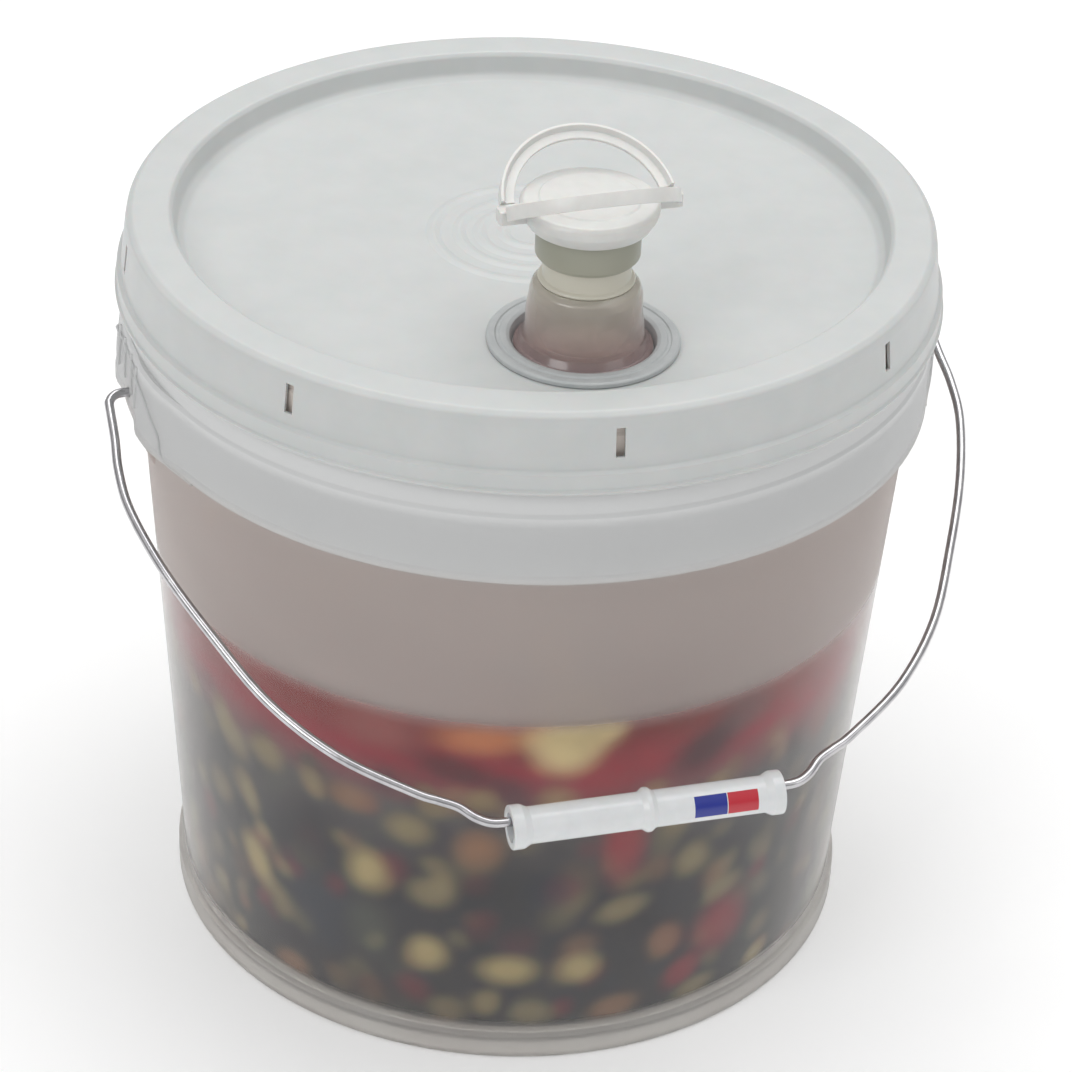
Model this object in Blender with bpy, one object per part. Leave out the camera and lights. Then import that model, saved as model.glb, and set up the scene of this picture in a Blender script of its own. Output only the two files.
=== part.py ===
"""A plastic fermenting bucket with a snap lid, a pull-up pouring spout and a wire bail.

Frame: metres, +Z up. The front is -Y. The origin is on the floor, in the middle of the
whole footprint. The bail stands forward, so the pail's axis is behind and left of it.
Sizes below are millimetres.
"""

import math

import bmesh
import bpy
from mathutils import Matrix, Vector

MM = 0.001

# ---------------------------------------------------------------- driving sizes
HEIGHT = 290.0  # floor to the top of the lid's rim
NECK_R = 145.0  # outside of the pail's straight neck, which carries the lid
FOOT_IN = 16.7  # the tapered wall, carried to the floor, stands this far inside the neck
WALL = 1.9  # pail wall thickness
GAP = 0.3  # clearance between pieces that sit on each other
RUN = 0.5  # clearance of a turning fit

FLOOR_UNDER = 4.3  # the pail floor's underside stands this far off the ground
FLOOR_T = 2.2
FOOT_STEP = 3.3  # how far the foot ring stands outside the wall
FOOT_H = 9.5
FOOT_T = 4.0

LID_T = 1.9
GASKET_T = 1.6
LID_LAP = 2.0  # the lid's rim stands this far outside the neck
LID_RING_W = 16.5  # width of the lid's flat rim
CREST_SLOPE = 3.6  # the rim's inner wall runs in this far on its way to the panel
PANEL_DROP = 10.5  # lid panel below the rim
SKIRT_H = 28.9
SKIRT_T = 1.9
SKIRT_FLARE = 4.2  # the skirt's foot stands this far outside its top
RIDGE_UP = 6.5  # ridge above the skirt's foot
STEP_UP = 5.8  # step above the ridge
SLOT_W = 2.1
SLOT_TOP = 5.8  # below the lid's top
SLOT_FOOT = 1.2  # solid skirt between a slot and the step
SLOTS = 8
FIRST_SLOT = 12.7  # degrees from the front, towards +X
PLUG_GAP = 0.9  # between the pail's mouth and the sealing rib inside it
PLUG_T = 1.6  # sealing rib under the lid
PLUG_H = 8.6

NECK_SHOWN = 9.9  # bare neck between the skirt's foot and the collar
COLLAR_H = 27.2
COLLAR_STEP = 3.4  # how far the collar stands outside the neck
COLLAR_T = 1.6
COLLAR_LIP = 0.5
RIB_T = 1.2
RIB_PAIRS = 8
RIB_SPREAD = 2.65  # degrees each side of a pair's middle

EAR_YAW = 16.3  # degrees the bail's axis is turned from X
EAR_UP = 5.7  # bail axis above the collar's foot
EAR_BULGE = 3.2  # the collar's cheeks beside each ear
EAR_DISH = 2.2  # the shallow dish between the cheeks, where the wire goes in
BOSS_W = 26.0
BOSS_UP = 12.0  # the ear's boss reaches this far above the bail axis
BOSS_FACE_DOWN = 4.5  # its upright face ends this far below the axis
BOSS_DOWN = 27.0  # its sloping underside meets the wall this far below the axis

TUBE_R = 15.4  # outside of the spout's neck
TUBE_T = 1.5
THREAD_STEP = 1.6  # thread's crest outside the neck
FINISH_STEP = 1.2  # the wide band under the cap, outside the thread
FINISH_H = 12.4
LINER_T = 1.0
SPOUT_REACH = 22.4  # cap's lower edge above the bell
CAP_STEP = 7.2  # the cap's side outside the thread
CAP_H = 8.8
CAP_T = 1.6
BELL_STEP = 3.8  # the bell's shoulder outside the neck
BELL_FLARE = 2.4  # the bell's foot outside its shoulder
BELL_H = 24.6
BELL_T = 1.2
MOUTH_IN = 0.3  # the base's bore inside the bell's foot
WELL_W = 3.4  # ledge in the base that carries the bell's foot
WELL_T = 2.2
FLANGE_LAP = 6.9  # the base's flange outside the lid's hole
SEAL_T = 0.8
SPOUT_MARGIN = 13.2  # flat panel between the flange and the rim's inner wall
SPOUT_TURN = 14.05  # degrees from the front, towards +X
SPOUT_YAW = 17.9  # degrees the pull ring's hinge line is turned from X
PULL_GAP = 1.8  # between the cap and the pull ring round it
PULL_W = 5.0
PULL_H = 5.0
PULL_LIP = 2.0
PULL_RAISED = 31.5  # degrees each half of the pull ring stands up
LUG_W = 5.8
LUG_STEP = 1.6  # hinge lugs outside the pull ring

WIRE_D = 3.4
BAIL_CLEAR = 9.1  # middle of the wire outside the ear's face, at its widest
BAIL_OVER = 36.7  # the grip passes this far outside the spout's cap
BAIL_ANGLE = 64.0  # degrees the bail stands forward of straight down
HOOK_IN = 3.4  # how far the wire's end goes into the ear

GRIP_L = 98.0
GRIP_BORE = 5.2
GRIP_T = 1.4
GRIP_FLARE = 1.3
GRIP_PLAY = 0.9  # between the wire and the top of the grip's bore

PAIL_X = -6.95  # the pail's axis from the middle of the footprint
PAIL_Y = 17.33

ROUND = 60  # sides of the large turned pieces
SMALL = 32  # sides of the spout's pieces

# ---------------------------------------------------------------- derived sizes
FOOT_WALL_R = NECK_R - FOOT_IN
PANEL_Z = HEIGHT - PANEL_DROP
RIM_Z = HEIGHT - LID_T - GASKET_T - 2 * GAP
SKIRT_FOOT = HEIGHT - SKIRT_H
RIDGE_Z = SKIRT_FOOT + RIDGE_UP
STEP_Z = RIDGE_Z + STEP_UP
COLLAR_TOP = SKIRT_FOOT - NECK_SHOWN
COLLAR_FOOT = COLLAR_TOP - COLLAR_H
COLLAR_R = NECK_R + COLLAR_STEP
EAR_Z = COLLAR_FOOT + EAR_UP
TAPER = (NECK_R - FOOT_WALL_R) / (COLLAR_TOP - 1.0)
MOUTH_IN_R = NECK_R - WALL - GAP
LID_R = NECK_R + LID_LAP
CREST_R = LID_R - LID_RING_W
PANEL_R = CREST_R - CREST_SLOPE

THREAD_R = TUBE_R + THREAD_STEP
FINISH_R = THREAD_R + FINISH_STEP
CAP_R = THREAD_R + CAP_STEP
CAP_FROM = BELL_H + SPOUT_REACH
BELL_TOP_R = TUBE_R + BELL_STEP
BELL_FOOT_R = BELL_TOP_R + BELL_FLARE
BORE_R = BELL_FOOT_R - MOUTH_IN
WELL_R = BORE_R + WELL_W
HOLE_R = WELL_R + WELL_T
FLANGE_R = HOLE_R + FLANGE_LAP
PULL_R = CAP_R + PULL_GAP + PULL_W
LUG_OUT = PULL_R + LUG_STEP
SPOUT_OUT = PANEL_R - FLANGE_R - SPOUT_MARGIN
SPOUT_X = SPOUT_OUT * math.sin(math.radians(SPOUT_TURN))
SPOUT_Y = -SPOUT_OUT * math.cos(math.radians(SPOUT_TURN))

EAR_FACE = COLLAR_R + EAR_BULGE - EAR_DISH
HOOK_FROM = EAR_FACE - HOOK_IN
BAIL_HALF = EAR_FACE + BAIL_CLEAR
SPOUT_SWEEP = math.hypot(SPOUT_OUT + LUG_OUT, PANEL_Z + CAP_FROM + CAP_H - EAR_Z)
BAIL_DROP = SPOUT_SWEEP + BAIL_OVER
GRIP_R = GRIP_BORE + GRIP_T
GRIP_SAG = GRIP_BORE - WIRE_D / 2 - GRIP_PLAY


def wall_r(z):
    """Outside radius of the tapered wall at a height."""
    return FOOT_WALL_R + TAPER * z


def clear_scene():
    for obj in list(bpy.data.objects):
        bpy.data.objects.remove(obj, do_unlink=True)


def plastic(name, colour, roughness, metallic=0.0):
    mat = bpy.data.materials.new(name)
    mat.use_nodes = True
    skin = mat.node_tree.nodes["Principled BSDF"]
    skin.inputs["Base Color"].default_value = (*colour, 1.0)
    skin.inputs["Roughness"].default_value = roughness
    skin.inputs["Metallic"].default_value = metallic
    mat.diffuse_color = (*colour, 1.0)
    return mat


def from_bmesh(name, bm, mat):
    """Turns a bmesh in millimetres into an object in metres, smooth except at real edges."""
    bmesh.ops.recalc_face_normals(bm, faces=bm.faces)
    bmesh.ops.scale(bm, vec=(MM, MM, MM), verts=bm.verts)
    for face in bm.faces:
        face.smooth = True
    mesh = bpy.data.meshes.new(name)
    bm.to_mesh(mesh)
    bm.free()
    mesh.set_sharp_from_angle(angle=math.radians(32))
    obj = bpy.data.objects.new(name, mesh)
    bpy.context.scene.collection.objects.link(obj)
    if mat is not None:
        mesh.materials.append(mat)
    return obj


def turned_bmesh(outline, sides):
    """A closed outline of (radius, height) points turned a full circle about Z."""
    bm = bmesh.new()
    verts = [bm.verts.new((r, 0.0, z)) for r, z in outline]
    on_axis = outline[0][0] == 0.0 and outline[-1][0] == 0.0
    last = len(verts) if not on_axis else len(verts) - 1
    edges = []
    for i in range(last):
        edges.append(bm.edges.new((verts[i], verts[(i + 1) % len(verts)])))
    bmesh.ops.spin(
        bm,
        geom=verts + edges,
        axis=(0.0, 0.0, 1.0),
        cent=(0.0, 0.0, 0.0),
        angle=2 * math.pi,
        steps=sides,
        use_merge=True,
    )
    bmesh.ops.remove_doubles(bm, verts=bm.verts, dist=0.002)
    return bm


def turned(name, outline, mat, sides=SMALL):
    return from_bmesh(name, turned_bmesh(outline, sides), mat)


def block(name, size, centre, bevel=0.0, turn=0.0):
    """A helper box in millimetres, turned about Z, for cutting or joining."""
    bm = bmesh.new()
    bmesh.ops.create_cube(bm, size=1.0)
    bmesh.ops.scale(bm, vec=size, verts=bm.verts)
    if bevel:
        bmesh.ops.bevel(
            bm,
            geom=list(bm.edges),
            offset=bevel,
            offset_type="OFFSET",
            segments=2,
            profile=0.5,
            affect="EDGES",
        )
    bmesh.ops.translate(bm, vec=centre, verts=bm.verts)
    bmesh.ops.rotate(bm, cent=(0, 0, 0), matrix=Matrix.Rotation(turn, 3, "Z"), verts=bm.verts)
    return from_bmesh(name, bm, None)


def rod(name, radius, start, length, turn, z, sides=16):
    """A helper cylinder lying along a radius at a height."""
    bm = bmesh.new()
    bmesh.ops.create_cone(
        bm,
        cap_ends=True,
        segments=sides,
        radius1=radius,
        radius2=radius,
        depth=length,
    )
    bmesh.ops.rotate(
        bm, cent=(0, 0, 0), matrix=Matrix.Rotation(math.pi / 2, 3, "Y"), verts=bm.verts
    )
    bmesh.ops.translate(bm, vec=(start + length / 2, 0, z), verts=bm.verts)
    bmesh.ops.rotate(bm, cent=(0, 0, 0), matrix=Matrix.Rotation(turn, 3, "Z"), verts=bm.verts)
    return from_bmesh(name, bm, None)


def ear_wedge(name, sections, turn):
    """A helper block between (height, inner radius, outer radius, half width) sections."""
    bm = bmesh.new()
    rings = []
    for z, r_in, r_out, half in sections:
        corners = ((r_in, -half), (r_out, -half), (r_out, half), (r_in, half))
        rings.append([bm.verts.new((x, y, z)) for x, y in corners])
    bm.faces.new(rings[0])
    bm.faces.new(reversed(rings[-1]))
    for low, high in zip(rings, rings[1:]):
        for i in range(4):
            k = (i + 1) % 4
            bm.faces.new((low[i], high[i], high[k], low[k]))
    bmesh.ops.rotate(bm, cent=(0, 0, 0), matrix=Matrix.Rotation(turn, 3, "Z"), verts=bm.verts)
    return from_bmesh(name, bm, None)


def join_or_cut(obj, helper, operation):
    if helper.parent is None:
        helper.parent = obj.parent
    helper.hide_render = True
    helper.display_type = "WIRE"
    mod = obj.modifiers.new(helper.name, "BOOLEAN")
    mod.operation = operation
    mod.solver = "EXACT"
    mod.object = helper


def place(obj, parent=None, at=(0.0, 0.0, 0.0), turn=(0.0, 0.0, 0.0)):
    obj.parent = parent
    obj.location = [v * MM for v in at]
    obj.rotation_euler = [math.radians(v) for v in turn]
    return obj


def empty(name, parent=None, at=(0.0, 0.0, 0.0), turn=(0.0, 0.0, 0.0)):
    obj = bpy.data.objects.new(name, None)
    bpy.context.scene.collection.objects.link(obj)
    return place(obj, parent, at, turn)


def eased(x, low, high):
    """0 below low, 1 above high, smooth between."""
    t = min(max((x - low) / (high - low), 0.0), 1.0)
    return t * t * (3 - 2 * t)


def from_ear(x, y):
    """Degrees round the pail from the nearer ear."""
    around = math.degrees(math.atan2(y, x)) - EAR_YAW
    return abs((around + 90.0) % 180.0 - 90.0)


# ---------------------------------------------------------------- pail
def pail_outline():
    foot_out = FOOT_WALL_R + FOOT_STEP
    foot_in = foot_out - FOOT_T
    floor_top = FLOOR_UNDER + FLOOR_T
    inside_foot = wall_r(floor_top + 4.0) - WALL
    inner_neck = MOUTH_IN_R
    skirt_in = COLLAR_R - COLLAR_T
    under_flange = COLLAR_TOP - 2.3
    return [
        (0.0, FLOOR_UNDER),
        (foot_in - 1.6, FLOOR_UNDER),
        (foot_in - 0.4, FLOOR_UNDER - 1.0),
        (foot_in, 0.6),
        (foot_in + 0.7, 0.0),
        (foot_out - 1.3, 0.0),
        (foot_out, 1.3),
        (foot_out, FOOT_H - 1.0),
        (foot_out - 0.8, FOOT_H + 0.7),
        (wall_r(FOOT_H + 2.6) + 0.3, FOOT_H + 2.2),
        (wall_r(FOOT_H + 6.0), FOOT_H + 6.0),
        (wall_r(under_flange), under_flange),
        (skirt_in, under_flange),
        (skirt_in, COLLAR_FOOT + 0.5),
        (skirt_in + 0.4, COLLAR_FOOT),
        (COLLAR_R + COLLAR_LIP - 0.5, COLLAR_FOOT),
        (COLLAR_R + COLLAR_LIP, COLLAR_FOOT + 0.7),
        (COLLAR_R + COLLAR_LIP, COLLAR_FOOT + 2.2),
        (COLLAR_R, COLLAR_FOOT + 3.2),
        (COLLAR_R, COLLAR_TOP - 1.0),
        (COLLAR_R - 0.8, COLLAR_TOP),
        (NECK_R + 0.6, COLLAR_TOP + 0.3),
        (NECK_R, COLLAR_TOP + 1.2),
        (NECK_R, RIM_Z - 6.0),
        (NECK_R + 0.3, RIM_Z - 4.4),
        (NECK_R + 0.3, RIM_Z - 0.6),
        (NECK_R - 0.3, RIM_Z),
        (inner_neck + 0.5, RIM_Z),
        (inner_neck, RIM_Z - 0.6),
        (inner_neck, COLLAR_TOP + 2.0),
        (wall_r(COLLAR_TOP - 3.0) - WALL, COLLAR_TOP - 3.0),
        (inside_foot, floor_top + 4.0),
        (inside_foot - 1.4, floor_top + 1.2),
        (inside_foot - 4.2, floor_top),
        (0.0, floor_top),
    ]


def make_pail(stand):
    bm = turned_bmesh(pail_outline(), ROUND)
    for v in bm.verts:
        reach = math.hypot(v.co.x, v.co.y)
        below_collar = COLLAR_FOOT - 0.5 < v.co.z < COLLAR_TOP + 0.1
        if reach < COLLAR_R - COLLAR_T - 0.05 or not below_collar:
            continue
        away = from_ear(v.co.x, v.co.y)
        cheek = EAR_BULGE * (1 - eased(away, 13.0, 24.0))
        dish = EAR_DISH * (1 - eased(away, 4.0, 10.0))
        low = 1 - 0.55 * eased(v.co.z, COLLAR_FOOT + 8.0, COLLAR_TOP)
        wide = (reach + (cheek - dish) * low) / reach
        v.co.x *= wide
        v.co.y *= wide
    natural = plastic("natural_hdpe", (0.60, 0.57, 0.54), 0.45)
    pail = place(from_bmesh("pail", bm, natural), stand)
    inner = wall_r(COLLAR_FOOT) - 0.6
    outer = COLLAR_R - COLLAR_T + 0.7
    rib_from = COLLAR_FOOT + 3.0
    rib_to = COLLAR_TOP - 1.6
    spacing = 360.0 / RIB_PAIRS
    for i in range(RIB_PAIRS):
        for side in (-1, 1):
            angle = math.radians(FIRST_SLOT + i * spacing + side * RIB_SPREAD - 90.0)
            rib = block(
                f"rib_{i}_{side + 1}",
                (outer - inner, RIB_T, rib_to - rib_from),
                ((outer + inner) / 2, 0.0, (rib_from + rib_to) / 2),
                turn=angle,
            )
            join_or_cut(pail, rib, "UNION")
    face = EAR_FACE - 0.3
    toe = EAR_Z - BOSS_DOWN
    wedge = [
        (EAR_Z + BOSS_UP, wall_r(EAR_Z + BOSS_UP) - 0.9, face, BOSS_W / 2),
        (EAR_Z - BOSS_FACE_DOWN, wall_r(EAR_Z - BOSS_FACE_DOWN) - 0.9, face, BOSS_W / 2),
        (toe, wall_r(toe) - 0.9, wall_r(toe) + 0.1, BOSS_W / 3),
    ]
    for i, turn in enumerate((EAR_YAW, EAR_YAW + 180.0)):
        boss = ear_wedge(f"ear_boss_{i}", wedge, math.radians(turn))
        join_or_cut(pail, boss, "UNION")
        bore = rod(
            f"ear_bore_{i}",
            WIRE_D / 2 + RUN,
            HOOK_FROM - RUN,
            20.0,
            math.radians(turn),
            EAR_Z,
        )
        join_or_cut(pail, bore, "DIFFERENCE")
    return pail


# ---------------------------------------------------------------- lid
def make_lid(stand):
    under = HEIGHT - LID_T
    crest = CREST_R
    edge = PANEL_R
    under_panel = PANEL_Z - LID_T
    plug_out = MOUTH_IN_R - PLUG_GAP
    plug_in = plug_out - PLUG_T
    flare = SKIRT_FLARE
    foot = SKIRT_FOOT
    step = STEP_Z
    ridge = RIDGE_Z
    slot_top = HEIGHT - SLOT_TOP
    slot_h = slot_top - step - SLOT_FOOT
    outline = [
        (0.0, PANEL_Z),
        (edge - 1.4, PANEL_Z),
        (edge, PANEL_Z + 0.3),
        (edge + 1.3, PANEL_Z + 1.4),
        (edge + 2.2, PANEL_Z + 4.0),
        (crest - 0.6, HEIGHT - 2.4),
        (crest - 0.1, HEIGHT - 0.7),
        (crest + 1.1, HEIGHT),
        (LID_R - 2.4, HEIGHT),
        (LID_R - 0.8, HEIGHT - 0.6),
        (LID_R, HEIGHT - 2.2),
        (LID_R + 0.5 * flare, step + 6.0),
        (LID_R + 0.64 * flare, step + 0.7),
        (LID_R + 0.70 * flare, step),
        (LID_R + 0.80 * flare, ridge + 1.0),
        (LID_R + 0.90 * flare, ridge + 0.2),
        (LID_R + 0.90 * flare, ridge - 0.5),
        (LID_R + 0.80 * flare, ridge - 1.1),
        (LID_R + 0.94 * flare, foot + 1.0),
        (LID_R + 1.0 * flare, foot + 0.4),
        (LID_R + 0.9 * flare, foot),
        (LID_R + 0.9 * flare - SKIRT_T, foot + 0.2),
        (LID_R + 0.7 * flare - SKIRT_T, ridge),
        (LID_R + 0.64 * flare - SKIRT_T, step),
        (NECK_R + 0.3 + RUN, RIM_Z + 0.6),
        (NECK_R + 0.2 + RUN, under),
        (plug_out, under),
        (plug_out - 0.1, under - PLUG_H + 0.8),
        (plug_out - 0.6, under - PLUG_H),
        (plug_in + 0.1, under - PLUG_H),
        (plug_in, under),
        (crest + 2.6, under),
        (crest + 1.5, under - 1.1),
        (edge + 4.0, PANEL_Z + 3.0),
        (edge + 2.4, under_panel + 0.9),
        (edge + 0.2, under_panel),
        (0.0, under_panel),
    ]
    white = plastic("white_hdpe_lid", (0.66, 0.69, 0.68), 0.38)
    lid = place(turned("lid", outline, white, ROUND), stand)
    hole = turned(
        "spout_hole",
        [(0.0, under_panel - 3), (HOLE_R, under_panel - 3), (HOLE_R, PANEL_Z + 3), (0.0, PANEL_Z + 3)],
        None,
    )
    place(hole, stand, (SPOUT_X, SPOUT_Y, 0.0))
    join_or_cut(lid, hole, "DIFFERENCE")
    for i in range(SLOTS):
        angle = math.radians(FIRST_SLOT + i * 360.0 / SLOTS - 90.0)
        slot = block(
            f"skirt_slot_{i}",
            (9.0, SLOT_W, slot_h),
            (LID_R + 1.6, 0.0, slot_top - slot_h / 2),
            turn=angle,
        )
        join_or_cut(lid, slot, "DIFFERENCE")
    return lid


def make_lid_gasket(stand):
    low = RIM_Z + GAP
    high = low + GASKET_T
    inner = NECK_R - WALL + 0.1
    outer = NECK_R + 0.2
    outline = [
        (inner, low),
        (outer - 0.3, low),
        (outer, low + 0.3),
        (outer, high - 0.3),
        (outer - 0.3, high),
        (inner, high),
    ]
    rubber = plastic("foamed_rubber", (0.30, 0.30, 0.29), 0.8)
    return place(turned("lid_gasket", outline, rubber, ROUND), stand)


# ---------------------------------------------------------------- spout
def make_spout(at_panel):
    """The pull-up spout. Heights here are above the lid's panel."""
    clear_pe = (0.50, 0.50, 0.46)
    seal_low = GAP
    seal_high = seal_low + SEAL_T
    flange = seal_high + GAP
    well_r = WELL_R
    plug = HOLE_R - 0.5
    base = [
        (plug, flange),
        (FLANGE_R - 1.0, flange),
        (FLANGE_R - 1.0, GAP),
        (FLANGE_R, GAP),
        (FLANGE_R, flange + 0.1),
        (FLANGE_R - 0.6, flange + 0.6),
        (FLANGE_R - 3.0, flange + 0.8),
        (FLANGE_R - 3.5, flange + 0.4),
        (FLANGE_R - 4.4, flange + 0.4),
        (FLANGE_R - 4.9, flange + 0.9),
        (well_r + 2.0, flange + 0.9),
        (well_r + 0.9, flange + 0.4),
        (well_r, -1.2),
        (well_r, -1.6),
        (BORE_R, -1.6),
        (BORE_R, -7.0),
        (plug - 1.0, -7.0),
        (plug + 0.9, -LID_T - 1.9),
        (plug + 0.9, -LID_T - GAP),
        (plug, -LID_T - GAP),
    ]
    part = turned("spout_base", base, plastic("clear_polyethylene_base", clear_pe, 0.4))
    place(part, at_panel)
    seal = [
        (HOLE_R + 0.5, seal_low),
        (FLANGE_R - 1.3, seal_low),
        (FLANGE_R - 1.3, seal_high),
        (HOLE_R + 0.5, seal_high),
    ]
    seal_mat = plastic("spout_seal_rubber", (0.16, 0.16, 0.16), 0.7)
    place(turned("spout_seal", seal, seal_mat), at_panel)

    floor = -1.6 + GAP
    out = [
        (well_r - GAP, floor),
        (well_r - GAP, floor + 0.9),
        (BELL_FOOT_R + 1.5, floor + 1.7),
        (BELL_FOOT_R + 0.6, 3.2),
        (BELL_FOOT_R, 7.0),
        (BELL_TOP_R + 1.2, BELL_H - 10.0),
        (BELL_TOP_R + 0.3, BELL_H - 5.0),
        (BELL_TOP_R - 0.2, BELL_H - 2.6),
        (BELL_TOP_R - 1.2, BELL_H - 0.9),
        (BELL_TOP_R - 2.6, BELL_H),
        (TUBE_R + GAP + 0.1, BELL_H),
    ]
    back = [
        (TUBE_R + GAP + 0.1, BELL_H - BELL_T),
        (BELL_TOP_R - 2.9, BELL_H - BELL_T),
        (BELL_TOP_R - 2.1, BELL_H - 1.8),
        (BELL_TOP_R - 1.4, BELL_H - 3.0),
        (BELL_TOP_R - 0.9, BELL_H - 5.1),
        (BELL_TOP_R + 0.0, BELL_H - 10.1),
        (BELL_FOOT_R - BELL_T, 6.9),
        (BELL_FOOT_R - BELL_T + 0.4, 3.0),
        (BORE_R, floor + 1.0),
        (BORE_R, floor),
    ]
    bell_mat = plastic("flexible_polyethylene", (0.42, 0.36, 0.33), 0.35)
    place(turned("spout_bell", out + back, bell_mat), at_panel)

    bore = TUBE_R - TUBE_T
    seat = BELL_H + GAP
    finish_top = CAP_FROM - GAP
    finish_low = finish_top - FINISH_H
    top = CAP_FROM + CAP_H - CAP_T - 2 * GAP - LINER_T
    neck = [
        (bore, BELL_H - 2.4),
        (TUBE_R - 0.4, BELL_H - 2.4),
        (TUBE_R, BELL_H - 2.0),
        (TUBE_R, seat),
        (TUBE_R + 1.3, seat),
        (TUBE_R + 1.6, seat + 0.5),
        (TUBE_R + 1.2, seat + 1.1),
        (TUBE_R, seat + 1.5),
        (TUBE_R, finish_low - 1.0),
        (FINISH_R - 1.4, finish_low - 0.6),
        (FINISH_R, finish_low + 0.6),
        (FINISH_R, finish_top),
        (THREAD_R, finish_top),
        (THREAD_R, top - 0.5),
        (THREAD_R - 0.5, top),
        (bore, top),
    ]
    neck_mat = plastic("translucent_polyethylene_neck", (0.48, 0.46, 0.40), 0.35)
    neck_obj = place(turned("spout_neck", neck, neck_mat), at_panel)

    head = empty("cap_axis", neck_obj, turn=(0.0, 0.0, SPOUT_YAW))
    liner = [
        (0.0, top + GAP),
        (THREAD_R - 0.2, top + GAP),
        (THREAD_R - 0.2, top + GAP + LINER_T),
        (0.0, top + GAP + LINER_T),
    ]
    place(turned("cap_liner", liner, plastic("foam_liner", (0.7, 0.7, 0.7), 0.7)), head)

    cap_top = CAP_FROM + CAP_H
    ceiling = cap_top - CAP_T
    grip_in = THREAD_R + 0.4
    grip_out = grip_in + 1.6
    cap = [
        (0.0, cap_top + 0.5),
        (grip_in, cap_top + 0.5),
        (grip_in + 0.5, cap_top),
        (CAP_R - 1.4, cap_top - 0.3),
        (CAP_R - 0.3, cap_top - 1.2),
        (CAP_R, cap_top - 3.0),
        (CAP_R - 0.3, CAP_FROM + 2.6),
        (CAP_R - 0.9, CAP_FROM + 0.3),
        (CAP_R - 1.3, CAP_FROM),
        (CAP_R - 2.2, CAP_FROM),
        (CAP_R - 1.8, ceiling - 0.6),
        (CAP_R - 2.6, ceiling),
        (grip_out, ceiling),
        (grip_out, CAP_FROM + GAP),
        (grip_in, CAP_FROM + GAP),
        (grip_in, ceiling),
        (0.0, ceiling),
    ]
    white = plastic("white_hdpe_cap", (0.78, 0.78, 0.76), 0.32)
    cap_obj = place(turned("spout_cap", cap, white), head)
    pivot_z = cap_top - 0.9
    lug_from = CAP_R - 1.5
    lug_h = PULL_H + 0.2
    for side in (-1, 1):
        lug = block(
            f"pull_lug_{side + 1}",
            (LUG_OUT - lug_from, LUG_W, lug_h),
            (side * (LUG_OUT + lug_from) / 2, 0.0, pivot_z - lug_h / 2),
            bevel=0.35,
        )
        place(lug, head)
        join_or_cut(cap_obj, lug, "UNION")

    pull_mat = plastic("white_hdpe_pull_ring", (0.80, 0.80, 0.78), 0.32)
    hinge_y = LUG_W / 2 + GAP
    for name, side in (("pull_ring_front", -1), ("pull_ring_rear", 1)):
        bm = turned_bmesh(pull_outline(), 40)
        cut = bmesh.ops.bisect_plane(
            bm,
            geom=list(bm.verts) + list(bm.edges) + list(bm.faces),
            dist=0.0001,
            plane_co=(0.0, side * (hinge_y + 0.1), 0.0),
            plane_no=(0.0, side, 0.0),
            clear_inner=True,
        )
        rims = [e for e in cut["geom_cut"] if isinstance(e, bmesh.types.BMEdge)]
        bmesh.ops.holes_fill(bm, edges=rims, sides=0)
        bmesh.ops.translate(bm, vec=(0.0, -side * hinge_y, 0.0), verts=bm.verts)
        half = from_bmesh(name, bm, pull_mat)
        place(half, head, (0.0, side * hinge_y, pivot_z), (side * PULL_RAISED, 0.0, 0.0))


def pull_outline():
    """Section of the pull ring. Height 0 is the top of its flat band."""
    inner = PULL_R - PULL_W
    low = PULL_LIP - PULL_H
    return [
        (inner, -1.3),
        (inner, -0.3),
        (inner + 0.3, 0.0),
        (PULL_R - 1.9, 0.0),
        (PULL_R - 0.8, PULL_LIP),
        (PULL_R - 0.1, PULL_LIP),
        (PULL_R, PULL_LIP - 0.2),
        (PULL_R, low + 0.2),
        (PULL_R - 0.2, low),
        (PULL_R - 1.4, low),
        (PULL_R - 1.4, -1.3),
    ]


# ---------------------------------------------------------------- bail
def bail_points():
    """The right half of the bail as (along the axis, drop) points, from the ear to the grip."""
    hook = [(HOOK_FROM, 0.0), (HOOK_FROM + 3.0, 0.0), (BAIL_HALF - 6.5, 0.0)]
    bend = []
    for i in range(1, 5):
        t = math.radians(90.0 * i / 4)
        bend.append((BAIL_HALF - 6.5 + 5.2 * math.sin(t), 5.2 * (1 - math.cos(t))))
    arch = [
        (0.994, 0.10),
        (1.0, 0.175),
        (0.991, 0.265),
        (0.943, 0.40),
        (0.868, 0.545),
        (0.774, 0.70),
        (0.650, 0.825),
        (0.505, 0.915),
    ]
    side = [(BAIL_HALF * u, BAIL_DROP * v) for u, v in arch]
    half_grip = GRIP_L / 2
    jog = [
        (half_grip + 22.5, BAIL_DROP - 11.5),
        (half_grip + 16.5, BAIL_DROP - 8.2),
        (half_grip + 11.5, BAIL_DROP - 3.4),
        (half_grip + 6.5, BAIL_DROP - 0.6),
        (half_grip, BAIL_DROP),
        (half_grip - 12.0, BAIL_DROP),
        (12.0, BAIL_DROP),
    ]
    return hook, bend, side, jog


def smooth_run(points, each):
    """A Catmull-Rom curve through the points."""
    out = []
    for i in range(len(points) - 1):
        p0 = Vector(points[max(i - 1, 0)])
        p1 = Vector(points[i])
        p2 = Vector(points[i + 1])
        p3 = Vector(points[min(i + 2, len(points) - 1)])
        for k in range(each):
            t = k / each
            out.append(
                0.5
                * (
                    2 * p1
                    + (p2 - p0) * t
                    + (2 * p0 - 5 * p1 + 4 * p2 - p3) * t * t
                    + (3 * p1 - p0 - 3 * p2 + p3) * t**3
                )
            )
    out.append(Vector(points[-1]))
    return out


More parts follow.
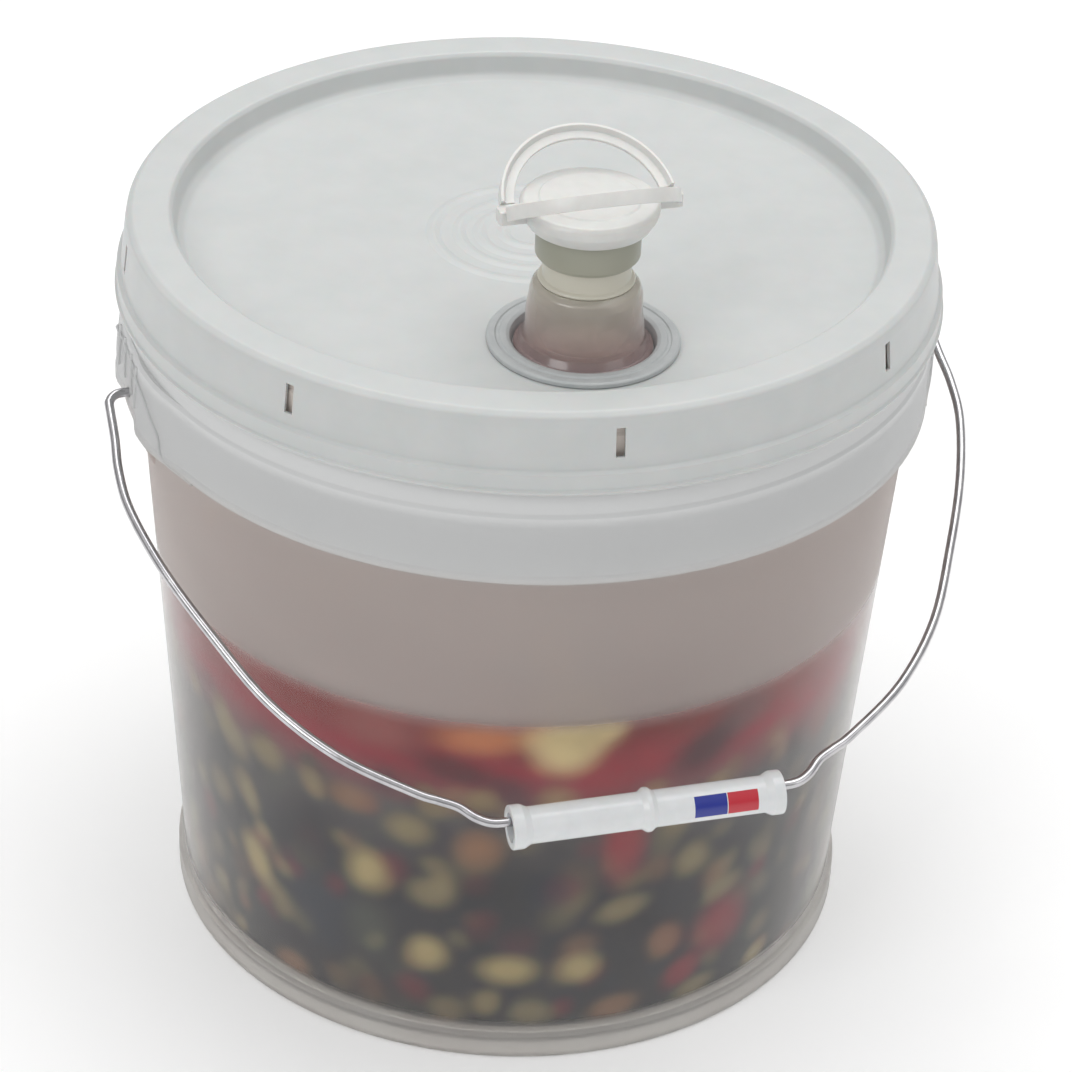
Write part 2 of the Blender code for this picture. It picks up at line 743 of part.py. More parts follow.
def make_bail(stand):
    hook, bend, side, jog = bail_points()
    swept = smooth_run([bend[-1]] + side + jog[:5], 2)
    half = [Vector(p) for p in hook + bend[:-1]] + swept + [Vector(p) for p in jog[5:]]
    whole = [(p.x, 0.0, -p.y) for p in half] + [(-p.x, 0.0, -p.y) for p in reversed(half)]
    curve = bpy.data.curves.new("bail_wire", "CURVE")
    curve.dimensions = "3D"
    curve.bevel_depth = WIRE_D / 2 * MM
    curve.bevel_resolution = 3
    curve.use_fill_caps = True
    curve.twist_mode = "Z_UP"
    line = curve.splines.new("POLY")
    line.points.add(len(whole) - 1)
    for point, at in zip(line.points, whole):
        point.co = (at[0] * MM, at[1] * MM, at[2] * MM, 1.0)
    steel = plastic("galvanised_steel_wire", (0.62, 0.62, 0.63), 0.25, 1.0)
    curve.materials.append(steel)
    bail = bpy.data.objects.new("bail_wire", curve)
    bpy.context.scene.collection.objects.link(bail)
    place(bail, stand, (0.0, 0.0, EAR_Z), (-BAIL_ANGLE, 0.0, EAR_YAW))

    half_l = GRIP_L / 2
    wide = GRIP_R + GRIP_FLARE
    grip = [
        (GRIP_BORE, -half_l),
        (wide - 0.5, -half_l),
        (wide, -half_l + 0.6),
        (wide, -half_l + 4.0),
        (GRIP_R, -half_l + 6.6),
        (GRIP_R, -2.0),
        (GRIP_R + 1.0, -1.3),
        (GRIP_R + 1.0, 1.3),
        (GRIP_R, 2.0),
        (GRIP_R, half_l - 6.6),
        (wide, half_l - 4.0),
        (wide, half_l - 0.6),
        (wide - 0.5, half_l),
        (GRIP_BORE, half_l),
    ]
    white = plastic("white_polypropylene_grip", (0.82, 0.82, 0.82), 0.3)
    lean = math.radians(BAIL_ANGLE)
    sag = (0.0, GRIP_SAG * math.sin(lean), -BAIL_DROP - GRIP_SAG * math.cos(lean))
    place(turned("bail_grip", grip, white, 20), bail, sag, (0.0, 90.0, 0.0))


clear_scene()
pail_axis = empty("pail_axis", at=(PAIL_X, PAIL_Y, 0.0))
make_pail(pail_axis)
make_lid(pail_axis)
make_lid_gasket(pail_axis)
make_spout(empty("spout_axis", pail_axis, (SPOUT_X, SPOUT_Y, PANEL_Z)))
make_bail(pail_axis)
bpy.context.view_layer.update()
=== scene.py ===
# %% [markdown]
# # A fermenting bucket, and what shows through its wall
#
# The real object is a food pail moulded in uncoloured HDPE, a plastic that lets light through
# but scatters it, like frosted glass with milk in it. The lid, the cap and the grip are the
# same family of plastic with white pigment, so they are opaque. The bail is steel wire.
# This script loads the CAD model as a fixed frame, then models each piece again at
# the fineness a close look needs. Nearly every piece is round, so one lathe function and one
# tube function make most of it.

import math

import bmesh
import bpy
import numpy as np
from mathutils import Matrix, Vector


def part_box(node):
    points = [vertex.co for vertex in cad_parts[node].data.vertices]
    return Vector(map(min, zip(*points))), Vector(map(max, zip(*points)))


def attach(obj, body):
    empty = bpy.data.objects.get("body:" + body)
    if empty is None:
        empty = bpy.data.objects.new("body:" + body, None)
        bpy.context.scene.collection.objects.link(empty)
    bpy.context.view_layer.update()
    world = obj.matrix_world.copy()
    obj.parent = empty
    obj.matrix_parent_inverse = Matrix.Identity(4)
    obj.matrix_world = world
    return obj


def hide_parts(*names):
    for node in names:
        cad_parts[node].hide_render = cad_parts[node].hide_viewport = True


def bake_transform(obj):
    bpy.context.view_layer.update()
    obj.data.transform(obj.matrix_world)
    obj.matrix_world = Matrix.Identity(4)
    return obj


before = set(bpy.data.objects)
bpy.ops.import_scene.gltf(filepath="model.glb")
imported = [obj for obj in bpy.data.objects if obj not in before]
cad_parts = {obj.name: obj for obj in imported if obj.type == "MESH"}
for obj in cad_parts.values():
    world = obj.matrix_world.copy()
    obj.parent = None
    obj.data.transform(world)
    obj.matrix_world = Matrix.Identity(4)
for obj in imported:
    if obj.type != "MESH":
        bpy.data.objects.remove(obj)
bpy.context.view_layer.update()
gasket_low, gasket_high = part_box("lid_gasket")
neck_low, neck_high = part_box("spout_neck")
AXIS = Vector(((gasket_low.x + gasket_high.x) / 2, (gasket_low.y + gasket_high.y) / 2, 0.0))
SPOUT = Vector(((neck_low.x + neck_high.x) / 2, (neck_low.y + neck_high.y) / 2, 0.0)) - AXIS
print("pail axis", [round(v, 5) for v in AXIS], "spout from it", [round(v, 5) for v in SPOUT])

# %% [markdown]
# ## The camera
#
# The camera looks down at the front of the pail from a little over a metre away, through a
# long lens, so circles stay close to true ellipses. Its three axes are given as vectors and
# put straight into the camera's matrix, which says exactly what it sees, roll included.

# %% camera
RIGHT = Vector((0.99908428, 0.01905296, 0.03830901))
UP = Vector((-0.0425346, 0.53911389, 0.84115815))
AHEAD = Vector((0.00462636, 0.84201734, -0.53943062))
lens = bpy.data.cameras.new("long_lens")
lens.lens = 124.254
lens.sensor_width = 36.0
lens.clip_end = 200.0
camera = bpy.data.objects.new("camera", lens)
bpy.context.scene.collection.objects.link(camera)
turn = Matrix((RIGHT, UP, -AHEAD)).transposed().to_4x4()
camera.matrix_world = Matrix.Translation(AXIS + Vector((0.0, -1.19503, 0.91406))) @ turn
bpy.context.scene.camera = camera
bpy.context.scene.view_settings.view_transform = "Standard"
print("camera at", [round(v, 3) for v in camera.matrix_world.translation])

# %% [markdown]
# ## Colour and nodes
#
# Colours are written as sRGB hex, the way a colour picker shows them, and turned to the
# linear numbers that a renderer adds up. One function puts a node in a material with its
# settings and its links, so a recipe below reads as a list of nodes. A moulded skin is never
# perfectly flat, and a second function gives every plastic here that faint unevenness.


# %% helpers for materials
def linear(hex_colour):
    """The linear numbers of an sRGB hex colour."""
    parts = [int(hex_colour[i : i + 2], 16) / 255 for i in (1, 3, 5)]
    return tuple(p / 12.92 if p <= 0.04045 else ((p + 0.055) / 1.055) ** 2.4 for p in parts)


def add_node(tree, kind, settings=None, links=None):
    """A node with its settings and links. "stops" colours its ramp, "bends" shapes its curve."""
    node = tree.nodes.new(kind)
    for name, value in (settings or {}).items():
        if name == "stops":
            points = node.color_ramp.elements
            while len(points) < len(value):
                points.new(0.5)
            for point, (at, colour) in zip(points, value):
                point.position = at
                point.color = (*linear(colour), 1.0)
        elif name == "bends":
            line = node.mapping.curves[0]
            line.points[0].location = (0.0, value[0][1])
            line.points[1].location = (1.0, value[-1][1])
            for at, height in value:
                line.points.new(at, height)
            for point in line.points:
                point.handle_type = "VECTOR"
            node.mapping.update()
        elif name in node.inputs:
            node.inputs[name].default_value = value
        else:
            setattr(node, name, value)
    for name, source in (links or {}).items():
        tree.links.new(source, node.inputs[name])
    return node


def new_material(name, **sockets):
    """A material with its node tree and its shader. Socket names have _ in place of a space."""
    mat = bpy.data.materials.new(name)
    mat.use_nodes = True
    skin = mat.node_tree.nodes["Principled BSDF"]
    for label, value in sockets.items():
        skin.inputs[label.replace("_", " ")].default_value = value
    return mat, mat.node_tree, skin


def moulded_grain(tree, skin, size_mm, depth_mm, strength, stretch=(1, 1, 1), shades=()):
    """A fine unevenness in the surface, with its grain size in real millimetres.

    Two close shades, if given, follow the same grain, since plastic never mixes quite evenly.
    """
    coords = add_node(tree, "ShaderNodeTexCoord")
    scaled = add_node(
        tree, "ShaderNodeMapping", {"Scale": stretch}, {"Vector": coords.outputs["Object"]}
    )
    noise = add_node(
        tree,
        "ShaderNodeTexNoise",
        {"Scale": 1000.0 / size_mm, "Detail": 3.0, "Roughness": 0.55},
        {"Vector": scaled.outputs["Vector"]},
    )
    bump = add_node(
        tree,
        "ShaderNodeBump",
        {"Strength": strength, "Distance": depth_mm / 1000.0},
        {"Height": noise.outputs["Fac"]},
    )
    tree.links.new(bump.outputs["Normal"], skin.inputs["Normal"])
    if shades:
        tone = add_node(
            tree,
            "ShaderNodeValToRGB",
            {"stops": list(zip((0.3, 0.7), shades))},
            {"Fac": noise.outputs["Fac"]},
        )
        tree.links.new(tone.outputs["Color"], skin.inputs["Base Color"])
    return coords, noise


# %% [markdown]
# ## The translucent plastic
#
# Natural HDPE holds no pigment. Light passes into it, is bent by tiny crystals and comes out
# blurred, so what touches the wall shows as soft colour and what stands away is lost. A
# Principled shader with rough transmission does that: the roughness is the scatter. Some of
# the light never gets through, and the base colour, painted darker by height, stands for it.

# %% material: natural HDPE, injection moulded
# HDPE itself has an index of 1.52. Below the wine the inner face is wet and hardly reflects, so
# a lower index stands for one dry and one wet face. Above the wine both are dry, and there 1.28
# is simply too low: the true index made this simple shader look foggier than the real wall.
natural_hdpe, tree, skin = new_material(
    "natural_hdpe_injection_moulded",
    IOR=1.28,
    Coat_Weight=0.05,
    Coat_Roughness=0.4,
)
coords, _ = moulded_grain(tree, skin, 9.0, 0.10, 0.5)
place = add_node(tree, "ShaderNodeSeparateXYZ", links={"Vector": coords.outputs["Object"]})
up = place.outputs["Z"]
# (metres up, share of light let through): little in the thick foot and in the collar with a
# wall behind it, most where wine wets the inner face and stops it scattering
through = [(0.008, 0.78), (0.016, 0.95), (0.155, 0.99), (0.161, 0.64), (0.215, 0.60)]
through += [(0.226, 0.40), (0.246, 0.36), (0.249, 0.12)]
blur = [(0.010, 0.40), (0.018, 0.17), (0.154, 0.17), (0.163, 0.42), (0.20, 0.48)]
for socket, bends in (("Transmission Weight", through), ("Roughness", blur)):
    curve = add_node(tree, "ShaderNodeFloatCurve", {"bends": bends}, {"Value": up})
    tree.links.new(curve.outputs["Value"], skin.inputs[socket])
flow = add_node(
    tree,
    "ShaderNodeTexNoise",
    {"Scale": 22.0, "Detail": 2.0},
    {"Vector": coords.outputs["Object"]},
)
tint = add_node(
    tree,
    "ShaderNodeValToRGB",
    {"stops": [(0.3, "#EEEAE6"), (0.7, "#F4F2EE")]},
    {"Fac": flow.outputs["Fac"]},
)
# painted shade by height, where less light comes through the wall: the dry wall over the wine is
# painted darker and warm, the doubled collar darker and cool, and the neck darker and warm in the
# lid's shade
shade = tint.outputs["Color"]
for painted_shade_hue, heights in (
    ("#DFD5D0", [(0.155, 0.0), (0.160, 1.0), (0.221, 1.0), (0.225, 0.0)]),
    ("#DFE0E0", [(0.221, 0.0), (0.225, 1.0)]),
    ("#DCD2CA", [(0.262, 0.0), (0.266, 1.0)]),
):
    where = add_node(tree, "ShaderNodeFloatCurve", {"bends": heights}, {"Value": up})
    blend = add_node(
        tree,
        "ShaderNodeMix",
        {"data_type": "RGBA"},
        {"Factor": where.outputs["Value"]},
    )
    # a Mix node names all its colour sockets alike, so these go by number: 6 is A and 7 is B
    tree.links.new(shade, blend.inputs[6])
    blend.inputs[7].default_value = (*linear(painted_shade_hue), 1)
    shade = blend.outputs[2]
tree.links.new(shade, skin.inputs["Base Color"])
print("natural HDPE:", len(tree.nodes), "nodes")

# %% [markdown]
# ## The spout's three plastics
#
# All three are polyethylene without pigment. The base ring is a stiff one and nearly clear, the
# bell a soft one moulded thin so that it can fold, and the neck a thicker wall of much the same
# stuff. The bell is painted darker towards its foot, as painted shade where less light reaches it,
# and the neck is painted darker where it runs up under the cap, as painted shade, so both take
# their colour from the height.

# %% material: clear polyethylene, injection moulded
clear_pe, tree, skin = new_material(
    "low_density_polyethylene_spout_base",
    IOR=1.51,
    Roughness=0.35,
    Transmission_Weight=0.18,
    Coat_Weight=0.15,
    Coat_Roughness=0.2,
)
moulded_grain(tree, skin, 6.0, 0.05, 0.5, shades=("#BFC3C4", "#C9CCCC"))
print("clear polyethylene done")

# %% material: flexible polyethylene, moulded thin
flexible_pe, tree, skin = new_material(
    "flexible_polyethylene_bell",
    IOR=1.51,
    Roughness=0.22,
    Transmission_Weight=0.66,
    Coat_Weight=0.55,
    Coat_Roughness=0.10,
)
coords, _ = moulded_grain(tree, skin, 14.0, 0.25, 0.6, (1, 1, 2.2))
place = add_node(tree, "ShaderNodeSeparateXYZ", links={"Vector": coords.outputs["Object"]})
climb = add_node(
    tree,
    "ShaderNodeMapRange",
    {"From Min": 0.278, "From Max": 0.304},
    {"Value": place.outputs["Z"]},
)
# painted shade: the colour darkens towards the bell's foot, where less light reaches it
tint = add_node(
    tree,
    "ShaderNodeValToRGB",
    {"stops": [(0.0, "#C2A9AA"), (0.30, "#D6BFB8"), (0.75, "#E4DACE"), (1.0, "#F0ECDF")]},
    {"Fac": climb.outputs["Result"]},
)
tree.links.new(tint.outputs["Color"], skin.inputs["Base Color"])

# %% material: polyethylene of the neck, injection moulded
neck_pe, tree, skin = new_material(
    "polyethylene_spout_neck",
    IOR=1.51,
    Roughness=0.32,
    Transmission_Weight=0.30,
    Coat_Weight=0.25,
    Coat_Roughness=0.18,
)
coords, _ = moulded_grain(tree, skin, 7.0, 0.06, 0.5)
place = add_node(tree, "ShaderNodeSeparateXYZ", links={"Vector": coords.outputs["Object"]})
climb = add_node(
    tree,
    "ShaderNodeMapRange",
    {"From Min": 0.302, "From Max": 0.328},
    {"Value": place.outputs["Z"]},
)
# painted shade: the neck is painted darker from where it runs up under the cap
tint = add_node(
    tree,
    "ShaderNodeValToRGB",
    {"stops": [(0.0, "#F0ECDC"), (0.40, "#EDE9DA"), (0.47, "#BAB9A8"), (1.0, "#AEAF9E")]},
    {"Fac": climb.outputs["Result"]},
)
tree.links.new(tint.outputs["Color"], skin.inputs["Base Color"])
print("translucent plastics: 4")

# %% [markdown]
# ## The white plastics, the steel and the rubber
#
# White HDPE for a lid is left slightly dull by the mould's own polish, and its surface waves
# a little where it shrank. The cap, the pull rings and the grip come from shinier moulds.
# The wire is drawn through a die, so its finest marks run along it, then zinc plated.

# %% material: white HDPE for the lid and the cap
lid_hdpe, tree, skin = new_material(
    "white_hdpe_moulded_lid",
    IOR=1.52,
    Roughness=0.42,
    Subsurface_Weight=0.15,
    Subsurface_Scale=0.002,
    Coat_Weight=0.08,
    Coat_Roughness=0.3,
)
moulded_grain(tree, skin, 16.0, 0.10, 0.5, shades=("#C3C6C5", "#C8CAC9"))

cap_hdpe, tree, skin = new_material(
    "white_hdpe_moulded_cap",
    IOR=1.52,
    Roughness=0.30,
    Subsurface_Weight=0.15,
    Subsurface_Scale=0.0015,
    Coat_Weight=0.15,
    Coat_Roughness=0.15,
)
moulded_grain(tree, skin, 5.0, 0.03, 0.5, shades=("#D6D6D3", "#DBDBD8"))

# %% material: zinc plated steel wire, drawn
wire_steel, tree, skin = new_material("zinc_plated_drawn_steel_wire", Metallic=1.0, Roughness=0.18)
coords, _ = moulded_grain(tree, skin, 1.2, 0.01, 0.5)
smudge = add_node(
    tree,
    "ShaderNodeTexNoise",
    {"Scale": 160.0, "Detail": 4.0, "Roughness": 0.6},
    {"Vector": coords.outputs["Object"]},
)
tint = add_node(
    tree,
    "ShaderNodeValToRGB",
    {"stops": [(0.3, "#B4B3B6"), (0.75, "#D2D1D3")]},
    {"Fac": smudge.outputs["Fac"]},
)
dull = add_node(
    tree,
    "ShaderNodeMapRange",
    {"To Min": 0.12, "To Max": 0.27},
    {"Value": smudge.outputs["Fac"]},
)
tree.links.new(tint.outputs["Color"], skin.inputs["Base Color"])
tree.links.new(dull.outputs["Result"], skin.inputs["Roughness"])

# %% material: soft seals
rubber, tree, skin = new_material("foamed_rubber_gasket", Roughness=0.75)
moulded_grain(tree, skin, 1.0, 0.05, 0.6, shades=("#8F8E89", "#9C9B96"))
seal_rubber, tree, skin = new_material("moulded_seal_rubber", Roughness=0.6)
moulded_grain(tree, skin, 2.0, 0.03, 0.5, shades=("#6F6F6C", "#7A7A77"))
for node, mat in (("lid_gasket", rubber), ("spout_seal", seal_rubber), ("cap_liner", lid_hdpe)):
    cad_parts[node].data.materials.clear()
    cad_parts[node].data.materials.append(mat)
print("opaque materials done")

# %% [markdown]
# ## Making a round piece
#
# A moulded round piece is its section turned about an axis. The section is a list of corners
# in millimetres, each with the radius that its mould gave it, so edges catch the light as
# real ones do. The lathe turns it with a few hundred sides.


# %% the lathe
def rounded(corners, steps=5):
    """Corners (radius, height, fillet) as a closed line with its corners rounded off."""
    line = []
    count = len(corners)
    for i, (r, z, fillet) in enumerate(corners):
        here = np.array((r, z), float)
        if fillet <= 0:
            line.append(here)
            continue
        to_last = np.array(corners[i - 1][:2], float) - here
        to_next = np.array(corners[(i + 1) % count][:2], float) - here
        long_last, long_next = np.linalg.norm(to_last), np.linalg.norm(to_next)
        to_last /= long_last
        to_next /= long_next
        bend = math.acos(float(np.clip(to_last @ to_next, -0.999, 0.999)))
        reach = min(fillet / math.tan(bend / 2), 0.48 * long_last, 0.48 * long_next)
        first, last = here + to_last * reach, here + to_next * reach
        for k in range(steps + 1):
            t = k / steps
            line.append((1 - t) ** 2 * first + 2 * t * (1 - t) * here + t * t * last)
    return np.array(line)


def finer(line, step, low=-1e9, high=1e9):
    """The same line with long straights between two heights cut into short ones."""
    out = []
    for i, here in enumerate(line):
        there = line[(i + 1) % len(line)]
        out.append(here)
        inside = low <= min(here[1], there[1]) or max(here[1], there[1]) <= high
        long = float(np.linalg.norm(there - here))
        if not inside or long <= step or (here[0] == 0.0 and there[0] == 0.0):
            continue
        pieces = int(math.ceil(long / step))
        out += [here + (there - here) * k / pieces for k in range(1, pieces)]
    return np.array(out)


def lathe(line, sides):
    """Points and faces of a closed section turned about Z. It may start and end on the axis."""
    line = np.asarray(line, float)
    solid_core = line[0, 0] == 0.0 and line[-1, 0] == 0.0
    rings = line[1:-1] if solid_core else line
    angles = np.linspace(0, 2 * math.pi, sides, endpoint=False)
    around = np.stack([np.cos(angles), np.sin(angles)], -1)
    xy = rings[:, None, 0:1] * around[None]
    z = np.broadcast_to(rings[:, None, 1:2], (len(rings), sides, 1))
    points = np.concatenate([xy, z], -1).reshape(-1, 3)
    faces = []
    spans = len(rings) - 1 if solid_core else len(rings)
    for i in range(spans):
        j = (i + 1) % len(rings)
        for k in range(sides):
            m = (k + 1) % sides
            faces.append((i * sides + k, i * sides + m, j * sides + m, j * sides + k))
    if solid_core:
        first = len(points)
        ends = np.array([(0, 0, line[0, 1]), (0, 0, line[-1, 1])])
        points = np.concatenate([points, ends])
        last_ring = (len(rings) - 1) * sides
        for k in range(sides):
            m = (k + 1) % sides
            faces.append((first, m, k))
            faces.append((first + 1, last_ring + k, last_ring + m))
    return points, faces


# %% [markdown]
# ## Pieces that ride on the frame
#
# Each piece is modelled in millimetres from the pail's axis, because those are the numbers a
# maker would use, and moved to its place in metres as it is made. It rides on a body of the
# frame, so it moves with that joint, and it stands for the plain CAD node that it hides. Holes
# and lugs are cut and joined with Booleans, and the result is kept as a plain mesh.


def make_piece(name, points, faces, mat, body, at=(0, 0, 0), stands_for=(), sharp=42.0):
    """Points in millimetres from the pail's axis become a piece that rides on a body."""
    mesh = bpy.data.meshes.new(name)
    place = np.array(AXIS) + np.array(at, float) / 1000.0
    world = np.asarray(points, float) / 1000.0 + place
    mesh.from_pydata(world.tolist(), [], [tuple(int(i) for i in f) for f in faces])
    bm = bmesh.new()
    bm.from_mesh(mesh)
    bmesh.ops.recalc_face_normals(bm, faces=bm.faces)
    bm.to_mesh(mesh)
    bm.free()
    mesh.polygons.foreach_set("use_smooth", [True] * len(mesh.polygons))
    mesh.set_sharp_from_angle(angle=math.radians(sharp))
    mesh.materials.append(mat)
    piece = bpy.data.objects.new(name, mesh)
    bpy.context.scene.collection.objects.link(piece)
    if body:
        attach(piece, body)
    if stands_for:
        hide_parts(*stands_for)
    return piece


def joined(parts):
    """Several (points, faces) pairs as one, with each one's faces counted on from the last."""
    faces, count = [], 0
    for part_points, part_faces in parts:
        faces += [tuple(count + k for k in face) for face in part_faces]
        count += len(part_points)
    return np.concatenate([part_points for part_points, _ in parts]), faces


def carve(piece, helper, operation):
    """Joins or cuts with an exact Boolean, and keeps the result in the mesh."""
    mod = piece.modifiers.new("shape", "BOOLEAN")
    mod.operation = operation
    mod.solver = "EXACT"
    mod.object = helper
    bpy.context.view_layer.update()
    shaped = piece.evaluated_get(bpy.context.evaluated_depsgraph_get())
    mesh = bpy.data.meshes.new_from_object(shaped)
    piece.modifiers.clear()
    piece.data = mesh
    mesh.polygons.foreach_set("use_smooth", [True] * len(mesh.polygons))
    mesh.set_sharp_from_angle(angle=math.radians(42))
    bpy.data.objects.remove(helper, do_unlink=True)


def eased(x, low, high):
    """0 below one value and 1 above the other, with a smooth rise between."""
    t = np.clip((x - low) / (high - low), 0.0, 1.0)
    return t * t * (3 - 2 * t)


# %% [markdown]
# ## The pail
#
# The wall leans out by about four degrees so that the moulded pail drops off its core. The
# collar round its neck is a second, short wall that stiffens the mouth, held off the first
# by pairs of thin ribs. At two places the collar swells into ears that take the wire.

# %% sizes of the pail
HEIGHT, NECK_R, FOOT_R, WALL = 290.0, 145.0, 128.3, 1.9
RIM_Z, COLLAR_TOP, COLLAR_R = 285.9, 251.2, 148.4
EAR_YAW, EAR_Z = 16.3, 229.7
LEAN = (NECK_R - FOOT_R) / (COLLAR_TOP - 1.0)
# eight pairs of ribs behind the collar, each pair under one slot of the lid's skirt
RIB_PAIRS, FIRST_PAIR, PAIR_STEP = 8, 12.7, 45.0


def wall_r(z):
    """The wall's outer radius at a height."""
    return FOOT_R + LEAN * z


inner_mouth = NECK_R - WALL - 0.3
behind_collar = COLLAR_R - 1.6
pail_section = [
    (0.0, 4.3, 0),
    (126.4, 4.3, 1.5),
    (127.6, 0.3, 0.4),
    (128.3, 0.0, 0.4),
    (131.6, 0.0, 1.3),
    (131.6, 9.6, 1.0),
    (130.1, 11.2, 1.6),
    (wall_r(15.5), 15.5, 3.0),
    (wall_r(248.9), 248.9, 0.8),
    (behind_collar, 248.9, 0.8),
    (behind_collar, 224.3, 0.3),
    (behind_collar + 0.5, 223.8, 0.3),
    (COLLAR_R + 0.5, 223.8, 0.5),
    (COLLAR_R + 0.5, 226.0, 0.5),
    (COLLAR_R, 227.0, 0.6),
    (COLLAR_R, 249.9, 1.0),
    (COLLAR_R - 0.9, 251.3, 1.5),
    (COLLAR_R - 1.7, 259.0, 2.0),
    (NECK_R + 0.5, 263.0, 1.0),
    (NECK_R + 0.9, 266.5, 1.0),
    (NECK_R + 0.9, 280.4, 0.8),
    (NECK_R + 0.3, 281.6, 0.3),
    (NECK_R + 0.3, RIM_Z, 0.6),
    (inner_mouth, RIM_Z, 0.6),
    (inner_mouth, 253.2, 3.0),
    (wall_r(248.2) - WALL, 248.2, 3.0),
    (wall_r(10.5) - WALL, 6.5, 4.0),
    (0.0, 6.5, 0),
]
pail_line = finer(rounded(pail_section), 3.0, 190.0, 260.0)
points, faces = lathe(pail_line, 300)


def from_ear(points):
    """Degrees round the pail from the nearer ear."""
    around = np.degrees(np.arctan2(points[:, 1], points[:, 0])) - EAR_YAW
    return np.abs((around + 90.0) % 180.0 - 90.0)


reach = np.hypot(points[:, 0], points[:, 1])
away = from_ear(points)
on_collar = (reach > behind_collar - 0.1) & (points[:, 2] > 223.0) & (points[:, 2] < 251.5)


def swell(away, z):
    """How far the collar bulges near an ear: wide cheeks with a dish between them."""
    cheek = 3.2 * (1 - eased(away, 11.0, 22.0))
    dish = 2.2 * (1 - eased(away, 3.5, 8.0))
    return (cheek - dish) * (1 - 0.55 * eased(z, 232.0, 251.0))


wide = np.where(on_collar, swell(away, points[:, 2]), 0.0)
points[:, :2] *= (1 + wide / np.maximum(reach, 1.0))[:, None]
pail = make_piece("pail_shell", points, faces, natural_hdpe, "pail", stands_for=("pail",))


# %% ears and ribs
def turned_about_axis(points, degrees):
    """The same points turned about the pail's axis."""
    c, s = math.cos(math.radians(degrees)), math.sin(math.radians(degrees))
    return np.asarray(points, float) @ np.array([[c, s, 0], [-s, c, 0], [0, 0, 1]])


def loft(rings):
    """A closed solid through rings that all have the same number of points."""
    count = len(rings[0])
    points = np.concatenate([np.asarray(ring, float) for ring in rings])
    faces = [tuple(range(count)), tuple(reversed(range(len(points) - count, len(points))))]
    for i in range(len(rings) - 1):
        for k in range(count):
            m = (k + 1) % count
            a, b = i * count, (i + 1) * count
            faces.append((a + k, b + k, b + m, a + m))
    return points, faces


def soft_slab(inner, outer, half, corner=2.0, steps=5):
    """A ring, seen from above, of a block with rounded outer corners."""
    ring = [(inner, -half), (outer - corner, -half)]
    for k in range(1, steps + 1):
        t = math.pi / 2 * k / steps
        ring.append((outer - corner + corner * math.sin(t), -half + corner * (1 - math.cos(t))))
    ring += [(x, -y) for x, y in reversed(ring)]
    return ring


for turn in (EAR_YAW, EAR_YAW + 180.0):
    rings = []
    for z, out, half in (
        (202.7, wall_r(202.7) + 0.1, 7.5),
        (204.5, wall_r(204.5) + 0.9, 8.6),
        (212.0, 145.9, 10.6),
        (222.5, 148.7, 12.6),
        (225.2, 149.1, 13.0),
        (241.7, 149.1, 13.0),
    ):
        ring = soft_slab(wall_r(z) - 0.9, out, half, min(2.5, out - wall_r(z) + 0.5))
        rings.append([(x, y, z) for x, y in ring])
    points, faces = loft(rings)
    helper = make_piece("ear_boss", turned_about_axis(points, turn), faces, natural_hdpe, None)
    carve(pail, helper, "UNION")
    bore, faces = lathe(rounded([(0, 0, 0), (2.2, 0, 0), (2.2, 20, 0), (0, 20, 0)]), 40)
    bore = bore[:, [2, 0, 1]] + np.array((145.5, 0.0, EAR_Z))
    helper = make_piece("ear_bore", turned_about_axis(bore, turn), faces, natural_hdpe, None)
    carve(pail, helper, "DIFFERENCE")
ribs = []
for i in range(RIB_PAIRS):
    for side in (-2.65, 2.65):
        r0, r1 = wall_r(225.0) - 0.9, behind_collar + 0.5
        box = [(r, y) for r, y in ((r0, -0.6), (r1, -0.6), (r1, 0.6), (r0, 0.6))]
        rings = [[(r + shift, y, z) for r, y in box] for z, shift in ((227.0, 0.0), (249.3, 1.2))]
        rings[1] = [(min(r, r1), y, z) for r, y, z in rings[1]]
        points, faces = loft(rings)
        ribs.append((turned_about_axis(points, FIRST_PAIR + PAIR_STEP * i + side - 90.0), faces))
make_piece("pail_ribs", *joined(ribs), natural_hdpe, "pail")
print("pail shell", len(pail.data.polygons), "faces, ribs", len(ribs))

# %% [markdown]
# ## The lid
#
# A press-on lid: a flat panel sunk below a wide rim, and a skirt that snaps over the pail's
# neck. The slots cut the skirt into tabs, so it can be peeled off one tab at a time. Rings
# round the middle of the panel are where the plastic first flowed in and froze in waves.

